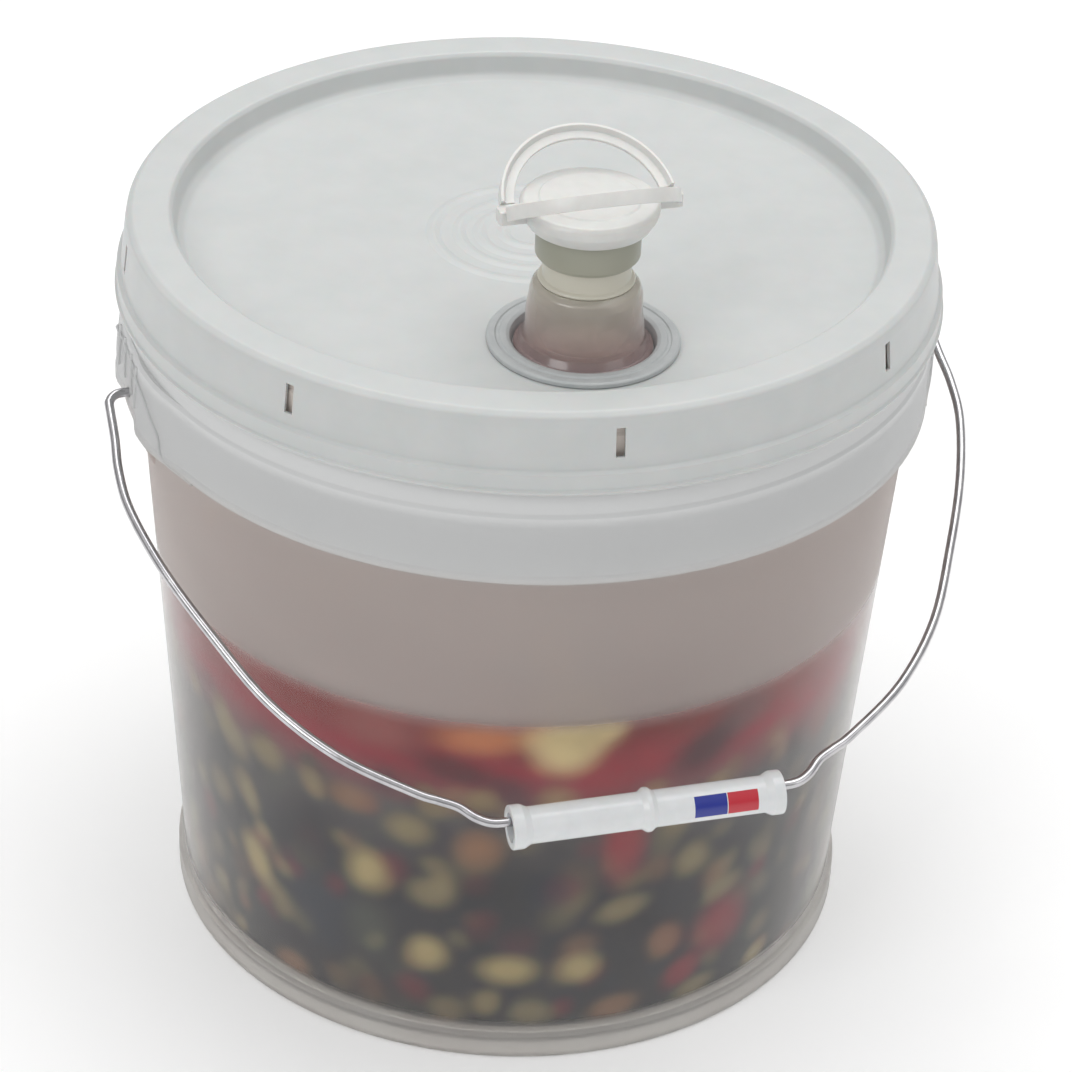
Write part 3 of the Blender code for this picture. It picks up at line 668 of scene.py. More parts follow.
# %% lid
LID_R, CREST_R, PANEL_R, PANEL_Z = 147.0, 130.5, 126.9, 279.5
lid_top = [(0.0, PANEL_Z, 0)]
for ring_r in (10.3, 19.0, 26.5, 36.0):
    lid_top += [
        (ring_r - 2.6, PANEL_Z, 1.0),
        (ring_r - 0.6, PANEL_Z + 0.55, 1.0),
        (ring_r + 0.6, PANEL_Z + 0.55, 1.0),
        (ring_r + 2.6, PANEL_Z, 1.0),
    ]
lid_section = lid_top + [
    (PANEL_R - 1.0, PANEL_Z, 3.0),
    (PANEL_R + 1.9, PANEL_Z + 2.4, 3.0),
    (CREST_R - 0.4, HEIGHT - 1.6, 2.2),
    (CREST_R + 1.0, HEIGHT, 1.6),
    (LID_R - 2.4, HEIGHT, 2.2),
    (LID_R - 0.2, HEIGHT - 1.6, 1.8),
    (LID_R + 0.4, HEIGHT - 5.0, 6.0),
    (148.6, 274.6, 2.5),
    (149.0, 269.4, 1.0),
    (150.7, 268.5, 0.5),
    (150.7, 262.9, 0.7),
    (151.5, 262.2, 0.4),
    (151.5, 261.2, 0.4),
    (149.2, 261.2, 0.3),
    (147.9, 267.6, 0.8),
    (147.7, 273.4, 2.0),
    (145.8, 286.5, 0.3),
    (145.7, 288.1, 0.2),
    (141.9, 288.1, 0.3),
    (141.8, 280.4, 0.3),
    (141.2, 279.5, 0.3),
    (140.4, 279.5, 0.3),
    (140.3, 288.1, 0.3),
    (133.1, 288.1, 1.0),
    (130.9, 282.5, 2.0),
    (128.0, 277.9, 2.5),
    (126.0, 277.6, 1.0),
    (0.0, 277.6, 0),
]
points, faces = lathe(rounded(lid_section), 360)
lid = make_piece("lid_shell", points, faces, lid_hdpe, "lid", stands_for=("lid",))
hole, faces = lathe(rounded([(0, 270, 0), (26.9, 270, 0), (26.9, 285, 0), (0, 285, 0)]), 96)
spout_at = np.array((SPOUT.x, SPOUT.y, 0.0)) * 1000.0
carve(lid, make_piece("spout_hole", hole, faces, lid_hdpe, None, spout_at), "DIFFERENCE")
slots = []
for i in range(RIB_PAIRS):
    ring = [(145.6, -1.6), (153.0, -1.6), (153.0, 1.6), (145.6, 1.6)]
    points, faces = loft([[(x, y, z) for x, y in ring] for z in (273.7, 284.4)])
    slots.append((turned_about_axis(points, FIRST_PAIR + PAIR_STEP * i - 90.0), faces))
helper = make_piece("skirt_slots", *joined(slots), lid_hdpe, None)
carve(lid, helper, "DIFFERENCE")
print("lid", len(lid.data.polygons), "faces")

# %% [markdown]
# ## The spout
#
# The base snaps into the lid's hole. The bell is thin and soft, so the neck can be pushed
# down until the bell folds inside out and the spout lies below the lid's rim. The screw cap
# has two half rings hinged on lugs: a finger in each pulls the spout up again.

# %% base, bell, neck and cap
# the spout stands on the lid's panel, so its heights are counted from P
P = PANEL_Z
BELL_H, BELL_R = 24.6, 20.0
base_section = [
    (26.4, P + 1.4, 0.2),
    (32.8, P + 1.4, 0.2),
    (32.8, P + 0.3, 0.1),
    (33.8, P + 0.3, 0.2),
    (33.8, P + 1.7, 0.5),
    (33.0, P + 2.2, 0.4),
    (30.9, P + 2.3, 0.3),
    (30.5, P + 1.8, 0.2),
    (29.6, P + 1.8, 0.2),
    (29.1, P + 2.3, 0.3),
    (27.0, P + 2.3, 0.5),
    (25.7, P + 1.7, 0.5),
    (24.7, P - 1.2, 0.3),
    (24.7, P - 1.6, 0.1),
    (23.4, P - 1.6, 0.3),
    (23.4, P - 7.0, 0.3),
    (25.4, P - 7.0, 0.6),
    (27.3, P - 3.8, 0.5),
    (27.3, P - 2.2, 0.2),
    (26.4, P - 2.2, 0.2),
]
points, faces = lathe(rounded(base_section, 3), 128)
make_piece("spout_base_ring", points, faces, clear_pe, "lid", spout_at, ("spout_base",))
bell_section = [
    (24.4, P - 1.3, 0.2),
    (24.4, P - 0.3, 0.4),
    (23.2, P + 0.6, 0.8),
    (21.5, P + 3.2, 2.0),
    (20.8, P + 7.0, 4.0),
    (20.1, P + 14.6, 6.0),
    (19.6, P + 20.2, 3.0),
    (18.7, P + 23.2, 2.0),
    (16.6, P + 24.6, 1.4),
    (15.8, P + 24.6, 0.1),
    (15.8, P + 23.4, 0.1),
    (16.3, P + 23.4, 0.8),
    (17.6, P + 22.3, 1.4),
    (18.4, P + 19.9, 2.0),
    (18.9, P + 14.5, 5.0),
    (19.6, P + 6.9, 3.0),
    (20.3, P + 3.0, 1.5),
    (21.3, P - 0.3, 0.4),
    (21.3, P - 1.3, 0.1),
]
bell_line = finer(rounded(bell_section, 4), 1.6)
points, faces = lathe(bell_line, 128)
# a soft moulding is never quite round: low waves run round it, strongest half way up
angle = np.arctan2(points[:, 1], points[:, 0])
height = (points[:, 2] - P) / BELL_H
belly = np.clip(np.sin(np.clip(height, 0, 1) * math.pi), 0, 1)
wave = 0.16 * np.sin(3 * angle + 9 * height) + 0.10 * np.sin(7 * angle - 14 * height)
points[:, :2] *= (1 + (belly * wave) / BELL_R)[:, None]
bell = make_piece("spout_bell_skin", points, faces, flexible_pe, None, spout_at, ("spout_bell",))
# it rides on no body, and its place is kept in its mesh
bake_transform(bell)
top = P + 52.6
neck_section = [
    (13.9, P + 22.2, 0.3),
    (15.1, P + 22.2, 0.3),
    (15.4, P + 24.0, 0.3),
    (15.4, P + 24.9, 0.1),
    (16.6, P + 24.9, 0.4),
    (17.0, P + 25.5, 0.5),
    (16.5, P + 26.1, 0.5),
    (15.4, P + 26.6, 0.5),
    (15.4, P + 33.3, 0.5),
    (16.9, P + 33.7, 0.6),
    (18.2, P + 35.2, 0.8),
    (18.2, P + 46.7, 0.5),
    (17.0, P + 46.7, 0.2),
    (17.0, P + 52.0, 0.3),
    (16.5, top, 0.4),
    (13.9, top, 0.4),
]
points, faces = lathe(rounded(neck_section, 4), 128)
make_piece("spout_neck_tube", points, faces, neck_pe, "spout_neck", spout_at, ("spout_neck",))

CAP_TOP = P + 55.8
cap_section = [
    (0.0, CAP_TOP + 0.5, 0),
    (17.2, CAP_TOP + 0.5, 0.5),
    (17.9, CAP_TOP + 0.0, 0.5),
    (22.9, CAP_TOP - 0.3, 1.6),
    (24.2, CAP_TOP - 2.0, 1.8),
    (23.8, P + 50.8, 3.0),
    (21.2, P + 46.4, 1.4),
    (18.7, P + 46.4, 0.3),
    (18.7, P + 47.4, 0.2),
    (17.4, P + 47.4, 0.2),
    (17.4, CAP_TOP - 1.6, 0.1),
    (0.0, CAP_TOP - 1.6, 0),
]
points, faces = lathe(rounded(cap_section), 160)
cap = make_piece("spout_cap_shell", points, faces, cap_hdpe, "spout_cap", spout_at, ("spout_cap",))
HINGE_TURN, HINGE_Z, HINGE_Y, RAISED = 17.9, CAP_TOP - 0.9, 3.2, 31.5
for side in (-1, 1):
    rings = []
    for z, slim in ((-5.2, 0.3), (-4.9, 0.0), (-0.35, 0.0), (0.0, 0.35)):
        half, r0, r1 = 2.9 - slim, 22.7, 32.6 - slim
        ring = soft_slab(r0, r1, half, 0.9, 4)
        rings.append([(side * x, y, HINGE_Z + z) for x, y in ring])
    points, faces = loft(rings)
    points = turned_about_axis(points, HINGE_TURN)
    lug = make_piece("pull_lug", points, faces, cap_hdpe, None, spout_at)
    carve(cap, lug, "UNION")
print("spout done, cap", len(cap.data.polygons), "faces")

# %% [markdown]
# ## The pull rings
#
# Each half ring has an L-shaped section: a tall outer wall that a finger pulls on, and a flat
# band inside it. The section is swept through almost half a circle and closed at both ends,
# then tilted up about its hinge line, as it stays after being used.

# %% pull rings
ring_section = [
    (26.0, -1.3, 0.2),
    (26.0, 0.0, 0.25),
    (29.1, 0.0, 0.35),
    (30.0, 2.0, 0.2),
    (31.0, 2.0, 0.25),
    (31.0, -3.0, 0.25),
    (29.6, -3.0, 0.3),
    (29.6, -1.3, 0.3),
]
ring_line = rounded(ring_section, 3)
SWEEP_STEPS = 96
for name, side in (("pull_ring_front", -1), ("pull_ring_rear", 1)):
    rings = []
    for k in range(SWEEP_STEPS + 1):
        share = k / SWEEP_STEPS
        cut = HINGE_Y + 0.1
        ring = []
        for r, z in ring_line:
            start = math.asin(cut / r)
            a = start + (math.pi - 2 * start) * share
            ring.append((r * math.cos(a), side * (r * math.sin(a) - HINGE_Y), z))
        rings.append(ring)
    points, faces = loft(rings)
    lift = math.radians(side * RAISED)
    y, z = points[:, 1].copy(), points[:, 2].copy()
    points[:, 1] = y * math.cos(lift) - z * math.sin(lift) + side * HINGE_Y
    points[:, 2] = y * math.sin(lift) + z * math.cos(lift) + HINGE_Z
    points = turned_about_axis(points, HINGE_TURN)
    make_piece(name + "_strap", points, faces, cap_hdpe, name, spout_at, (name,))
print("pull rings done")

# %% [markdown]
# ## A tube along a line
#
# Wire and beads are the same round section all along a bent line, so one function sweeps both.
# A smooth curve is laid through a few chosen points, and each ring of the tube keeps the last
# one's direction, so the skin never twists.


# %% a tube along a line
def smooth_run(points, each):
    """A Catmull-Rom curve through the points."""
    points = [np.array(p, float) for p in points]
    out = []
    for i in range(len(points) - 1):
        p0, p1, p2 = points[max(i - 1, 0)], points[i], points[i + 1]
        p3 = points[min(i + 2, len(points) - 1)]
        for k in range(each):
            t = k / each
            bend = (2 * p0 - 5 * p1 + 4 * p2 - p3) * t * t
            curl = (3 * p1 - p0 - 3 * p2 + p3) * t**3
            out.append(0.5 * (2 * p1 + (p2 - p0) * t + bend + curl))
    out.append(points[-1])
    return out


def tube(path, radius, sides=24, nose=0.35):
    """Points and faces of a round wire along a path, its cut ends slightly chamfered."""
    path = np.array(path, float)
    ahead = np.gradient(path, axis=0)
    ahead /= np.linalg.norm(ahead, axis=1)[:, None]
    side = np.cross(ahead[0], (0.13, 0.31, 0.94))
    rings = []
    for i, (p, d) in enumerate(zip(path, ahead)):
        side = side - d * (side @ d)
        side /= np.linalg.norm(side)
        other = np.cross(d, side)
        angles = np.linspace(0, 2 * math.pi, sides, endpoint=False)
        unit = np.cos(angles)[:, None] * side + np.sin(angles)[:, None] * other
        if i == 0:
            rings.append(p + unit * (radius - nose))
            p = p + d * nose * 0.6
        if i == len(path) - 1:
            rings.append(p - d * nose * 0.6 + unit * radius)
            rings.append(p + unit * (radius - nose))
            continue
        rings.append(p + unit * radius)
    return loft(rings)


# %% [markdown]
# ## The beads on the ears
#
# The collar's lower edge climbs over each ear as a thin bead, with four small ribs inside it.
# On the real pail they are part of the same moulding. Here they are tubes half sunk in the
# wall, which is simpler than modelling them in the shell and looks the same.

# %% beads round the ears
arch_over = [(22.7, 223.6), (18.0, 224.2), (15.4, 226.6), (14.8, 233.0), (13.0, 237.4)]
arch_over += [(10.0, 242.2), (5.7, 245.0), (0.0, 246.2)]
arch_over += [(-off, z) for off, z in reversed(arch_over[:-1])]
strokes = [smooth_run(arch_over, 6)]
for off in (-6.0, -2.4, 2.4, 6.0):
    strokes.append([np.array((off, z)) for z in np.linspace(232.5, 249.0, 12)])
beads = []
for turn in (EAR_YAW, EAR_YAW + 180.0):
    for stroke in strokes:
        run = []
        for off, z in stroke:
            r = COLLAR_R + float(swell(abs(off), z)) + 0.1
            run.append((r * math.cos(math.radians(off)), r * math.sin(math.radians(off)), z))
        points, faces = tube(run, 0.75, 12, 0.3)
        beads.append((turned_about_axis(points, turn), faces))
make_piece("pail_ear_beads", *joined(beads), natural_hdpe, "pail")
print("ear beads", len(beads))

# %% [markdown]
# ## The bail
#
# The wire is bent cold: hooks into the ears, a wide arch, then a small jog each side that
# keeps the grip from sliding. Half of its middle line is given, flat, and the other half is
# its mirror. Then the whole line is leant forward about the ears.

# %% wire
BAIL_LEAN = 64.0  # degrees forward from hanging straight down
HALF, DROP, WIRE_R = 158.5, 190.98, 1.7


def to_bail(points):
    """From (along the ears' axis, drop, sideways) to the pail's own millimetres."""
    points = np.asarray(points, float)
    lean = math.radians(BAIL_LEAN)
    forward = points[:, 1] * math.sin(lean) + points[:, 2] * math.cos(lean)
    down = points[:, 1] * math.cos(lean) - points[:, 2] * math.sin(lean)
    flat = np.stack([points[:, 0], -forward, EAR_Z - down], -1)
    return turned_about_axis(flat, EAR_YAW)


hook = [(146.0, 0.0), (149.0, 0.0), (152.0, 0.0)]
bend = [(152.0 + 5.2 * math.sin(t), 5.2 * (1 - math.cos(t))) for t in (0.39, 0.79, 1.18, 1.57)]
arch = [(0.994, 0.10), (1.0, 0.175), (0.991, 0.265), (0.943, 0.40), (0.868, 0.545)]
arch += [(0.774, 0.70), (0.650, 0.825), (0.505, 0.915)]
jog = [(71.5, 11.5), (65.5, 8.2), (60.5, 3.4), (55.5, 0.6), (49.0, 0.0), (37.0, 0.0), (12.0, 0.0)]
half_line = hook + bend + [(HALF * u, DROP * v) for u, v in arch]
half_line += [(u, DROP - up) for u, up in jog]
half_line = smooth_run(half_line, 6)
whole = half_line + [np.array((-p[0], p[1])) for p in reversed(half_line)]
path = to_bail([(u, v, 0.0) for u, v in whole])
points, faces = tube(path, WIRE_R)
make_piece("bail_wire_rod", points, faces, wire_steel, "bail", stands_for=("bail_wire",))
print("wire", round(float(np.linalg.norm(np.diff(path, axis=0), axis=1).sum())), "mm long")

# %% [markdown]
# ## The grip
#
# A hollow polypropylene roller with flared ends and a raised ring at its middle, where the
# two halves of the mould met. A small printed label is two plain blocks of colour. It is
# worked out in the shader from the place on the roller, so it lies on the surface exactly.

# %% material: white polypropylene with a printed label
grip_pp, tree, skin = new_material(
    "white_polypropylene_grip",
    IOR=1.49,
    Roughness=0.24,
    Subsurface_Weight=0.1,
    Subsurface_Scale=0.001,
    Coat_Weight=0.2,
    Coat_Roughness=0.12,
)
_, noise = moulded_grain(tree, skin, 6.0, 0.03, 0.5)
label_map = add_node(tree, "ShaderNodeUVMap", {"uv_map": "roller"})
split = add_node(tree, "ShaderNodeSeparateXYZ", links={"Vector": label_map.outputs["UV"]})


def between(low, high, source):
    """1 where the source lies between two values, 0 outside."""
    above = add_node(tree, "ShaderNodeMath", {"operation": "GREATER_THAN"}, {0: source})
    above.inputs[1].default_value = low
    below = add_node(tree, "ShaderNodeMath", {"operation": "LESS_THAN"}, {0: source})
    below.inputs[1].default_value = high
    both = add_node(
        tree,
        "ShaderNodeMath",
        {"operation": "MULTIPLY"},
        {0: above.outputs[0], 1: below.outputs[0]},
    )
    return both.outputs[0]


# along the roller in millimetres from its middle, and round it in degrees
along, round_it = split.outputs["X"], split.outputs["Y"]
white = add_node(
    tree,
    "ShaderNodeValToRGB",
    {"stops": [(0.3, "#DADCDD"), (0.7, "#E0E2E3")]},
    {"Fac": noise.outputs["Fac"]},
)
band = between(-14.0, 57.0, round_it)
shade = white.outputs["Color"]
for ink, low, high in (("#27338F", 15.8, 27.6), ("#BE2F3C", 27.9, 39.0)):
    printed = add_node(
        tree,
        "ShaderNodeMath",
        {"operation": "MULTIPLY"},
        {0: band, 1: between(low, high, along)},
    )
    inked = add_node(
        tree,
        "ShaderNodeMix",
        {"data_type": "RGBA"},
        {"Factor": printed.outputs[0]},
    )
    tree.links.new(shade, inked.inputs[6])
    inked.inputs[7].default_value = (*linear(ink), 1)
    shade = inked.outputs[2]
tree.links.new(shade, skin.inputs["Base Color"])
print("grip's finish:", len(tree.nodes), "nodes")

# %% grip
GRIP_HANG = 2.6  # millimetres that the loose grip's middle hangs below the wire's
grip_section = [
    (5.2, -49.0, 0.3),
    (7.9, -49.0, 0.5),
    (7.9, -45.0, 1.0),
    (6.6, -42.4, 1.0),
    (6.6, -2.6, 1.0),
    (7.9, -0.7, 0.6),
    (7.9, 0.7, 0.6),
    (6.6, 2.6, 1.0),
    (6.6, 42.4, 1.0),
    (7.9, 45.0, 1.0),
    (7.9, 49.0, 0.5),
    (5.2, 49.0, 0.3),
]
points, faces = lathe(rounded(grip_section, 4), 96)
roller = points.copy()
centre = to_bail([(0.0, DROP, 0.0)])[0] + np.array((0.0, 0.0, -GRIP_HANG))
along_wire = turned_about_axis([(1.0, 0.0, 0.0)], EAR_YAW)[0]
forward = turned_about_axis([(0.0, -1.0, 0.0)], EAR_YAW)[0]
laid = centre + np.outer(points[:, 2], along_wire) + np.outer(points[:, 0], forward)
laid += np.outer(points[:, 1], (0.0, 0.0, 1.0))
grip = make_piece("bail_grip_roller", laid, faces, grip_pp, "bail_grip", stands_for=("bail_grip",))
# the map that the label is worked out from: millimetres along the roller, degrees round it
rolled = grip.data.uv_layers.new(name="roller")
for loop, uv in zip(grip.data.loops, rolled.data):
    p = roller[loop.vertex_index]
    uv.uv = (p[2], math.degrees(math.atan2(p[1], p[0])))
print("grip centre", [round(v, 1) for v in centre])

# %% [markdown]
# ## What shows through the wall
#
# The pail is in use: it holds fruit and wine. Only what lies against the wall can be seen, so
# the filling is one solid that stops half a millimetre short of it. Each point of its skin
# gets a colour from the fruit nearest to it, as soft blots, since the wine between them is
# cloudy. The tone named shade is painted shade, the dark between the fruit. A few hundred
# blots are scattered at random first, then some are placed one by one.

# %% filling
WINE_Z, MIDDLE_R = 156.5, 136.0  # the wine's level, and the wall's radius half way up to it
BLOTS = 760
rng = np.random.default_rng(7)
must_line = [
    (0.0, 6.9, 0),
    (wall_r(7.0) - WALL - 5.6, 6.9, 1.0),
    (wall_r(11.0) - WALL - 0.5, 10.6, 3.0),
    (wall_r(WINE_Z) - WALL - 0.45, WINE_Z + 0.9, 0.3),
    (wall_r(WINE_Z) - WALL - 2.4, WINE_Z, 1.2),
    (0.0, WINE_Z, 0),
]
points, faces = lathe(finer(rounded(must_line, 4), 2.0), 420)
around = np.degrees(np.arctan2(points[:, 0], -points[:, 1]))
level = points[:, 2]
tones = {
    "wine": "#A2484A",
    "pinkish": "#B46A6A",
    "shade": "#272937",
    "blue": "#26334A",
    "green": "#5A625C",
    "olive": "#B3A67E",
    "yellow": "#D8C68E",
    "brown": "#BC9070",
    "red": "#B03448",
    "rosy": "#B83C4C",
    "peach": "#FFEBB4",
    "orange": "#F09C6C",
    "plum": "#3E2A38",
    "grey": "#6E6C70",
}
tones = {name: np.array(linear(value)) for name, value in tones.items()}
# the colour by height; the tone named shade is painted shade, and it fills the filling from 12 to
# 80 mm up
stops = [6.0, 12.0, 40.0, 80.0, 112.0, 135.0, 150.0, 160.0]
shades = ["grey", "shade", "shade", "shade", "grey", "red", "wine", "pinkish"]
skin_colour = np.stack(
    [np.interp(level, stops, [tones[s][c] for s in shades]) for c in range(3)], -1
)


def blot(colours, tone, az, z, wide, tall, strength=1.0, tilt=0.0, soft=1.0):
    """Adds one soft spot of colour; wide and tall are its half sizes in millimetres."""
    dx = ((around - az + 180.0) % 360.0 - 180.0) * math.radians(1.0) * MIDDLE_R
    dz = level - z
    c, s = math.cos(math.radians(tilt)), math.sin(math.radians(tilt))
    u, v = (dx * c + dz * s) / wide, (-dx * s + dz * c) / tall
    far = np.sqrt(u * u + v * v)
    share = strength * (1 - eased(far, 1.0 - 0.75 * soft, 1.0 + 0.55 * soft))
    return colours + (tones[tone] - colours) * share[:, None]


# blots of the tone named shade are painted shade, the dark between the fruit
chances = {
    "olive": 0.24,
    "yellow": 0.16,
    "brown": 0.12,
    "shade": 0.22,
    "blue": 0.09,
    "red": 0.09,
    "green": 0.08,
}
for _ in range(BLOTS):
    az, z = rng.uniform(-180, 180), rng.uniform(10, 128)
    kind = rng.choice(list(chances), p=list(chances.values()))
    wide = rng.uniform(4.0, 7.5)
    # fainter in front, where the blots placed one by one do most of the work
    strength = rng.uniform(0.25, 0.75) * (0.62 if abs(az) < 66 else 1.0)
    tall, tilt = wide * rng.uniform(0.7, 1.3), rng.uniform(-60, 60)
    skin_colour = blot(skin_colour, kind, az, z, wide, tall, strength, tilt)
print("scattered blots:", BLOTS)

# %% blots placed one by one
# tone, degrees round from the front, height, half width and half height in mm, strength, tilt
placed = [
    ("wine", -33.9, 150.0, 16, 8, 0.9, 0), ("pinkish", -20.0, 147.0, 16, 9, 0.8, 0),
    ("pinkish", -48.0, 150.0, 14, 7, 0.6, 0), ("shade", -54.4, 100.0, 12, 16, 0.6, 0),
    ("olive", -52.1, 116.4, 6, 9, 0.8, 20), ("olive", -41.3, 114.6, 8, 7, 0.8, 0),
    ("olive", -46.3, 88.0, 5, 9, 0.8, 20), ("yellow", -45.3, 58.6, 7, 11, 0.9, 25),
    ("brown", -25.1, 111.0, 10, 6, 0.7, 0), ("olive", -15.3, 103.2, 9, 7, 0.85, 0),
    ("yellow", -22.6, 78.4, 9, 10, 0.95, 15), ("brown", -4.1, 97.7, 9, 9, 0.95, 0),
    ("olive", -11.7, 74.5, 9, 7, 0.8, 0), ("blue", -32.0, 50.0, 15, 17, 0.9, 0),
    ("green", -22.2, 50.2, 10, 15, 0.7, 0), ("yellow", -12.1, 44.7, 8, 8, 0.9, 0),
    ("yellow", 1.2, 40.0, 11, 7, 0.95, 0), ("brown", -38.2, 16.0, 9, 6, 0.7, 10),
    ("shade", -33.2, 84.0, 17, 15, 0.8, 0), ("shade", 0.5, 72.0, 17, 19, 0.75, 0),
    ("plum", -22.0, 19.0, 16, 8, 0.6, 0), ("olive", -8.7, 18.5, 8, 6, 0.6, 0),
    ("plum", -62.6, 55.0, 8, 14, 0.6, 0), ("plum", -8.0, 134.0, 18, 6, 0.6, -12),
    ("orange", -4.0, 149.5, 17, 7, 0.9, 4), ("rosy", 14.5, 132.0, 13, 11, 0.85, 0),
    ("orange", 4.5, 153.0, 6, 5, 0.9, 0), ("peach", 9.0, 150.5, 16, 8, 1.0, 0),
    ("peach", 8.6, 144.5, 12, 10, 1.0, 0), ("peach", 13.8, 153.0, 9, 5, 0.95, 12),
    ("rosy", 21.8, 139.0, 9, 10, 0.85, 0), ("plum", 31.5, 136.0, 15, 9, 0.8, 24),
    ("grey", 38.0, 147.0, 12, 9, 0.5, 0), ("red", 62.0, 136.0, 12, 14, 0.8, 0),
    ("pinkish", 58.5, 120.7, 7, 10, 0.6, 0), ("shade", 48.0, 84.0, 14, 16, 0.7, 0),
    ("rosy", 18.9, 100.0, 9, 19, 0.9, 0), ("olive", 31.2, 83.5, 7, 8, 0.8, -25),
    ("olive", 38.2, 62.5, 9, 5, 0.7, 25), ("olive", 19.4, 66.7, 10, 6, 0.8, 15),
    ("brown", 27.7, 46.0, 7, 8, 0.7, 0), ("yellow", 13.2, 40.0, 8, 7, 0.85, 15),
    ("red", 38.9, 44.0, 13, 13, 0.85, 30), ("red", 32.0, 27.0, 9, 7, 0.8, 30),
    ("olive", 34.8, 16.0, 9, 5, 0.7, 10), ("blue", 7.4, 79.0, 10, 9, 0.6, 0),
    ("yellow", 49.3, 17.0, 7, 5, 0.7, 20), ("brown", 19.5, 17.4, 10, 6, 0.75, 8),
    ("olive", 5.6, 18.0, 9, 6, 0.6, 0), ("grey", 61.7, 60.0, 9, 14, 0.6, 0),
]
for tone, az, z, wide, tall, strength, tilt in placed:
    skin_colour = blot(skin_colour, tone, az, z, wide, tall, strength, tilt)
print("placed blots:", len(placed))

# %% [markdown]
# ## The filling's skin
#
# The blots are stored as a colour on each point of the filling, so they stay where they are when
# the pail moves. The shader reads them and makes them slightly cloudy. There is next to no
# gloss, since wine against plastic has no bright edge of its own.

# %% material and piece: the filling
must_mat, tree, skin = new_material(
    "fruit_must_in_wine", IOR=1.34, Roughness=0.45, Specular_IOR_Level=0.05
)
tint = add_node(tree, "ShaderNodeVertexColor", {"layer_name": "must"})
coords = add_node(tree, "ShaderNodeTexCoord")
cloud = add_node(
    tree,
    "ShaderNodeTexNoise",
    {"Scale": 90.0, "Detail": 3.0},
    {"Vector": coords.outputs["Object"]},
)
mottle = add_node(
    tree,
    "ShaderNodeMapRange",
    {"To Min": 0.86, "To Max": 1.12},
    {"Value": cloud.outputs["Fac"]},
)
shaded = add_node(
    tree,
    "ShaderNodeVectorMath",
    {"operation": "SCALE"},
    {0: tint.outputs["Color"], "Scale": mottle.outputs["Result"]},
)
tree.links.new(shaded.outputs[0], skin.inputs["Base Color"])
must = make_piece("contents_must", points, faces, must_mat, "pail")
layer = must.data.color_attributes.new("must", "FLOAT_COLOR", "POINT")
layer.data.foreach_set("color", np.column_stack([skin_colour, np.ones(len(points))]).ravel())
print("filling", len(points), "points")

# %% [markdown]
# ## Floating fruit
#
# Whole pieces of fruit float on the wine and show when the lid is lifted. Each is a ball made
# by the lathe, flattened and made lumpy with sine waves. A scrap of peach stuck to the dry
# wall above the wine is one more of them.


# %% floating fruit
def fruit(az, r, z, size, tilt):
    """A lumpy ball, a little flat, floating at an angle and distance from the pail's axis."""
    ball = [(0.0, -1.0)] + [(math.cos(t), math.sin(t)) for t in np.linspace(-1.35, 1.35, 14)]
    points, faces = lathe(np.array(ball + [(0.0, 1.0)]) * size, 28)
    lumps = 1 + 0.07 * np.sin(points[:, 0] / size * 3.1 + az) * np.cos(points[:, 1] / size * 2.7)
    points *= lumps[:, None] * np.array((1.0, 0.82, 0.74))
    c, s = math.cos(tilt), math.sin(tilt)
    points = points @ np.array([[c, 0, s], [0, 1, 0], [-s, 0, c]])
    a = math.radians(az)
    return points + np.array((r * math.sin(a), -r * math.cos(a), z)), faces


for name, hexes, full_size, count in (
    ("peach", ("#D9A25C", "#E3B570"), 14.0, 9),
    ("plum", ("#4A2233", "#6A2F3E"), 11.0, 11),
    ("grape", ("#8C8A4E", "#A6A068"), 7.0, 12),
):
    skin_of_fruit, tree, skin = new_material(
        "wet_" + name + "_skin",
        IOR=1.36,
        Roughness=0.28,
        Subsurface_Weight=0.2,
        Subsurface_Scale=0.003,
    )
    _, noise = moulded_grain(tree, skin, 4.0, 0.2, 0.5)
    tint = add_node(
        tree,
        "ShaderNodeValToRGB",
        {"stops": [(0.35, hexes[0]), (0.65, hexes[1])]},
        {"Fac": noise.outputs["Fac"]},
    )
    tree.links.new(tint.outputs["Color"], skin.inputs["Base Color"])
    lumps = []
    for _ in range(count):
        size = full_size * rng.uniform(0.85, 1.1)
        spot = (rng.uniform(-180, 180), 112.0 * math.sqrt(rng.uniform(0.02, 1.0)))
        lumps.append(fruit(*spot, WINE_Z - size * 0.15, size, rng.uniform(-0.6, 0.6)))
    if name == "peach":
        lumps.append(fruit(-52.3, 135.0, 206.5, 5.6, 0.5))
    make_piece("contents_" + name, *joined(lumps), skin_of_fruit, "pail")
    print("floating", name, len(lumps))

# %% [markdown]
# ## Floor and light
#
# A pale floor and three soft lamps: a wide one overhead, a key from the upper left and a fill
# from the right, as in a product studio. A pale sky fills in the rest.

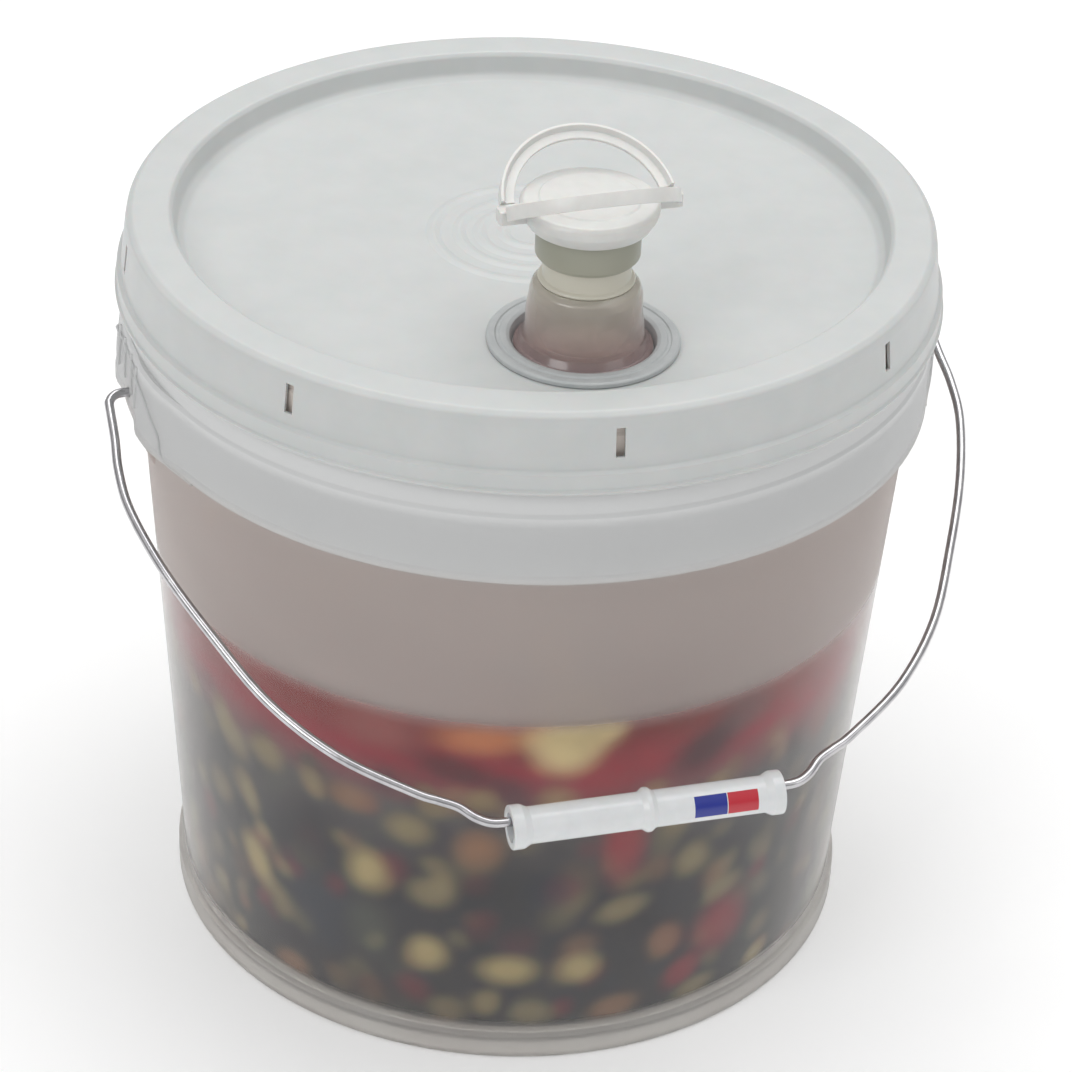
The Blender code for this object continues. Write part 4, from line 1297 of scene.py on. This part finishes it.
# %% floor, lamps, sky
paper, _, skin = new_material("pale_paper_sweep", Roughness=0.9)
skin.inputs["Base Color"].default_value = (*linear("#F6F6F6"), 1)
skin.inputs["Emission Color"].default_value = (1.0, 1.0, 1.0, 1.0)
skin.inputs["Emission Strength"].default_value = 0.16
floor_mesh = bpy.data.meshes.new("floor")
# it runs on for forty metres, so that a low view meets the sky far behind the pail
floor_corners = [(x, y, -0.0006) for x, y in ((-40, -40), (40, -40), (40, 40), (-40, 40))]
floor_mesh.from_pydata(floor_corners, [], [(0, 1, 2, 3)])
floor_mesh.materials.append(paper)
floor = bpy.data.objects.new("floor", floor_mesh)
bpy.context.scene.collection.objects.link(floor)


def soft_lamp(name, place, aim, size, watts):
    """A white lamp of a given width and height, turned to face a point."""
    lamp = bpy.data.lights.new(name, "AREA")
    lamp.shape = "RECTANGLE"
    lamp.size, lamp.size_y = size
    lamp.energy = watts
    obj = bpy.data.objects.new(name, lamp)
    bpy.context.scene.collection.objects.link(obj)
    obj.location = place
    obj.rotation_euler = (Vector(aim) - Vector(place)).to_track_quat("-Z", "Y").to_euler()


soft_lamp("overhead_box", (0.1, 0.35, 1.6), (0, 0, 0.2), (1.6, 1.2), 12.0)
soft_lamp("key_box", (-1.1, -1.2, 1.3), (0, 0, 0.15), (0.9, 0.9), 7.5)
soft_lamp("fill_box", (1.5, -0.9, 0.9), (0, 0, 0.15), (0.9, 1.2), 2.6)
sky = bpy.data.worlds.new("pale_sky")
sky.use_nodes = True
bpy.context.scene.world = sky
ways = add_node(sky.node_tree, "ShaderNodeTexCoord")
rise = add_node(sky.node_tree, "ShaderNodeSeparateXYZ", links={"Vector": ways.outputs["Generated"]})
glow = add_node(
    sky.node_tree,
    "ShaderNodeMapRange",
    {"From Min": 0.0, "From Max": 0.8, "To Min": 0.25, "To Max": 0.70},
    {"Value": rise.outputs["Z"]},
)
backdrop = sky.node_tree.nodes["Background"]
backdrop.inputs["Color"].default_value = (1, 1, 1, 1)
sky.node_tree.links.new(glow.outputs["Result"], backdrop.inputs["Strength"])
print("floor, three lamps and a sky")
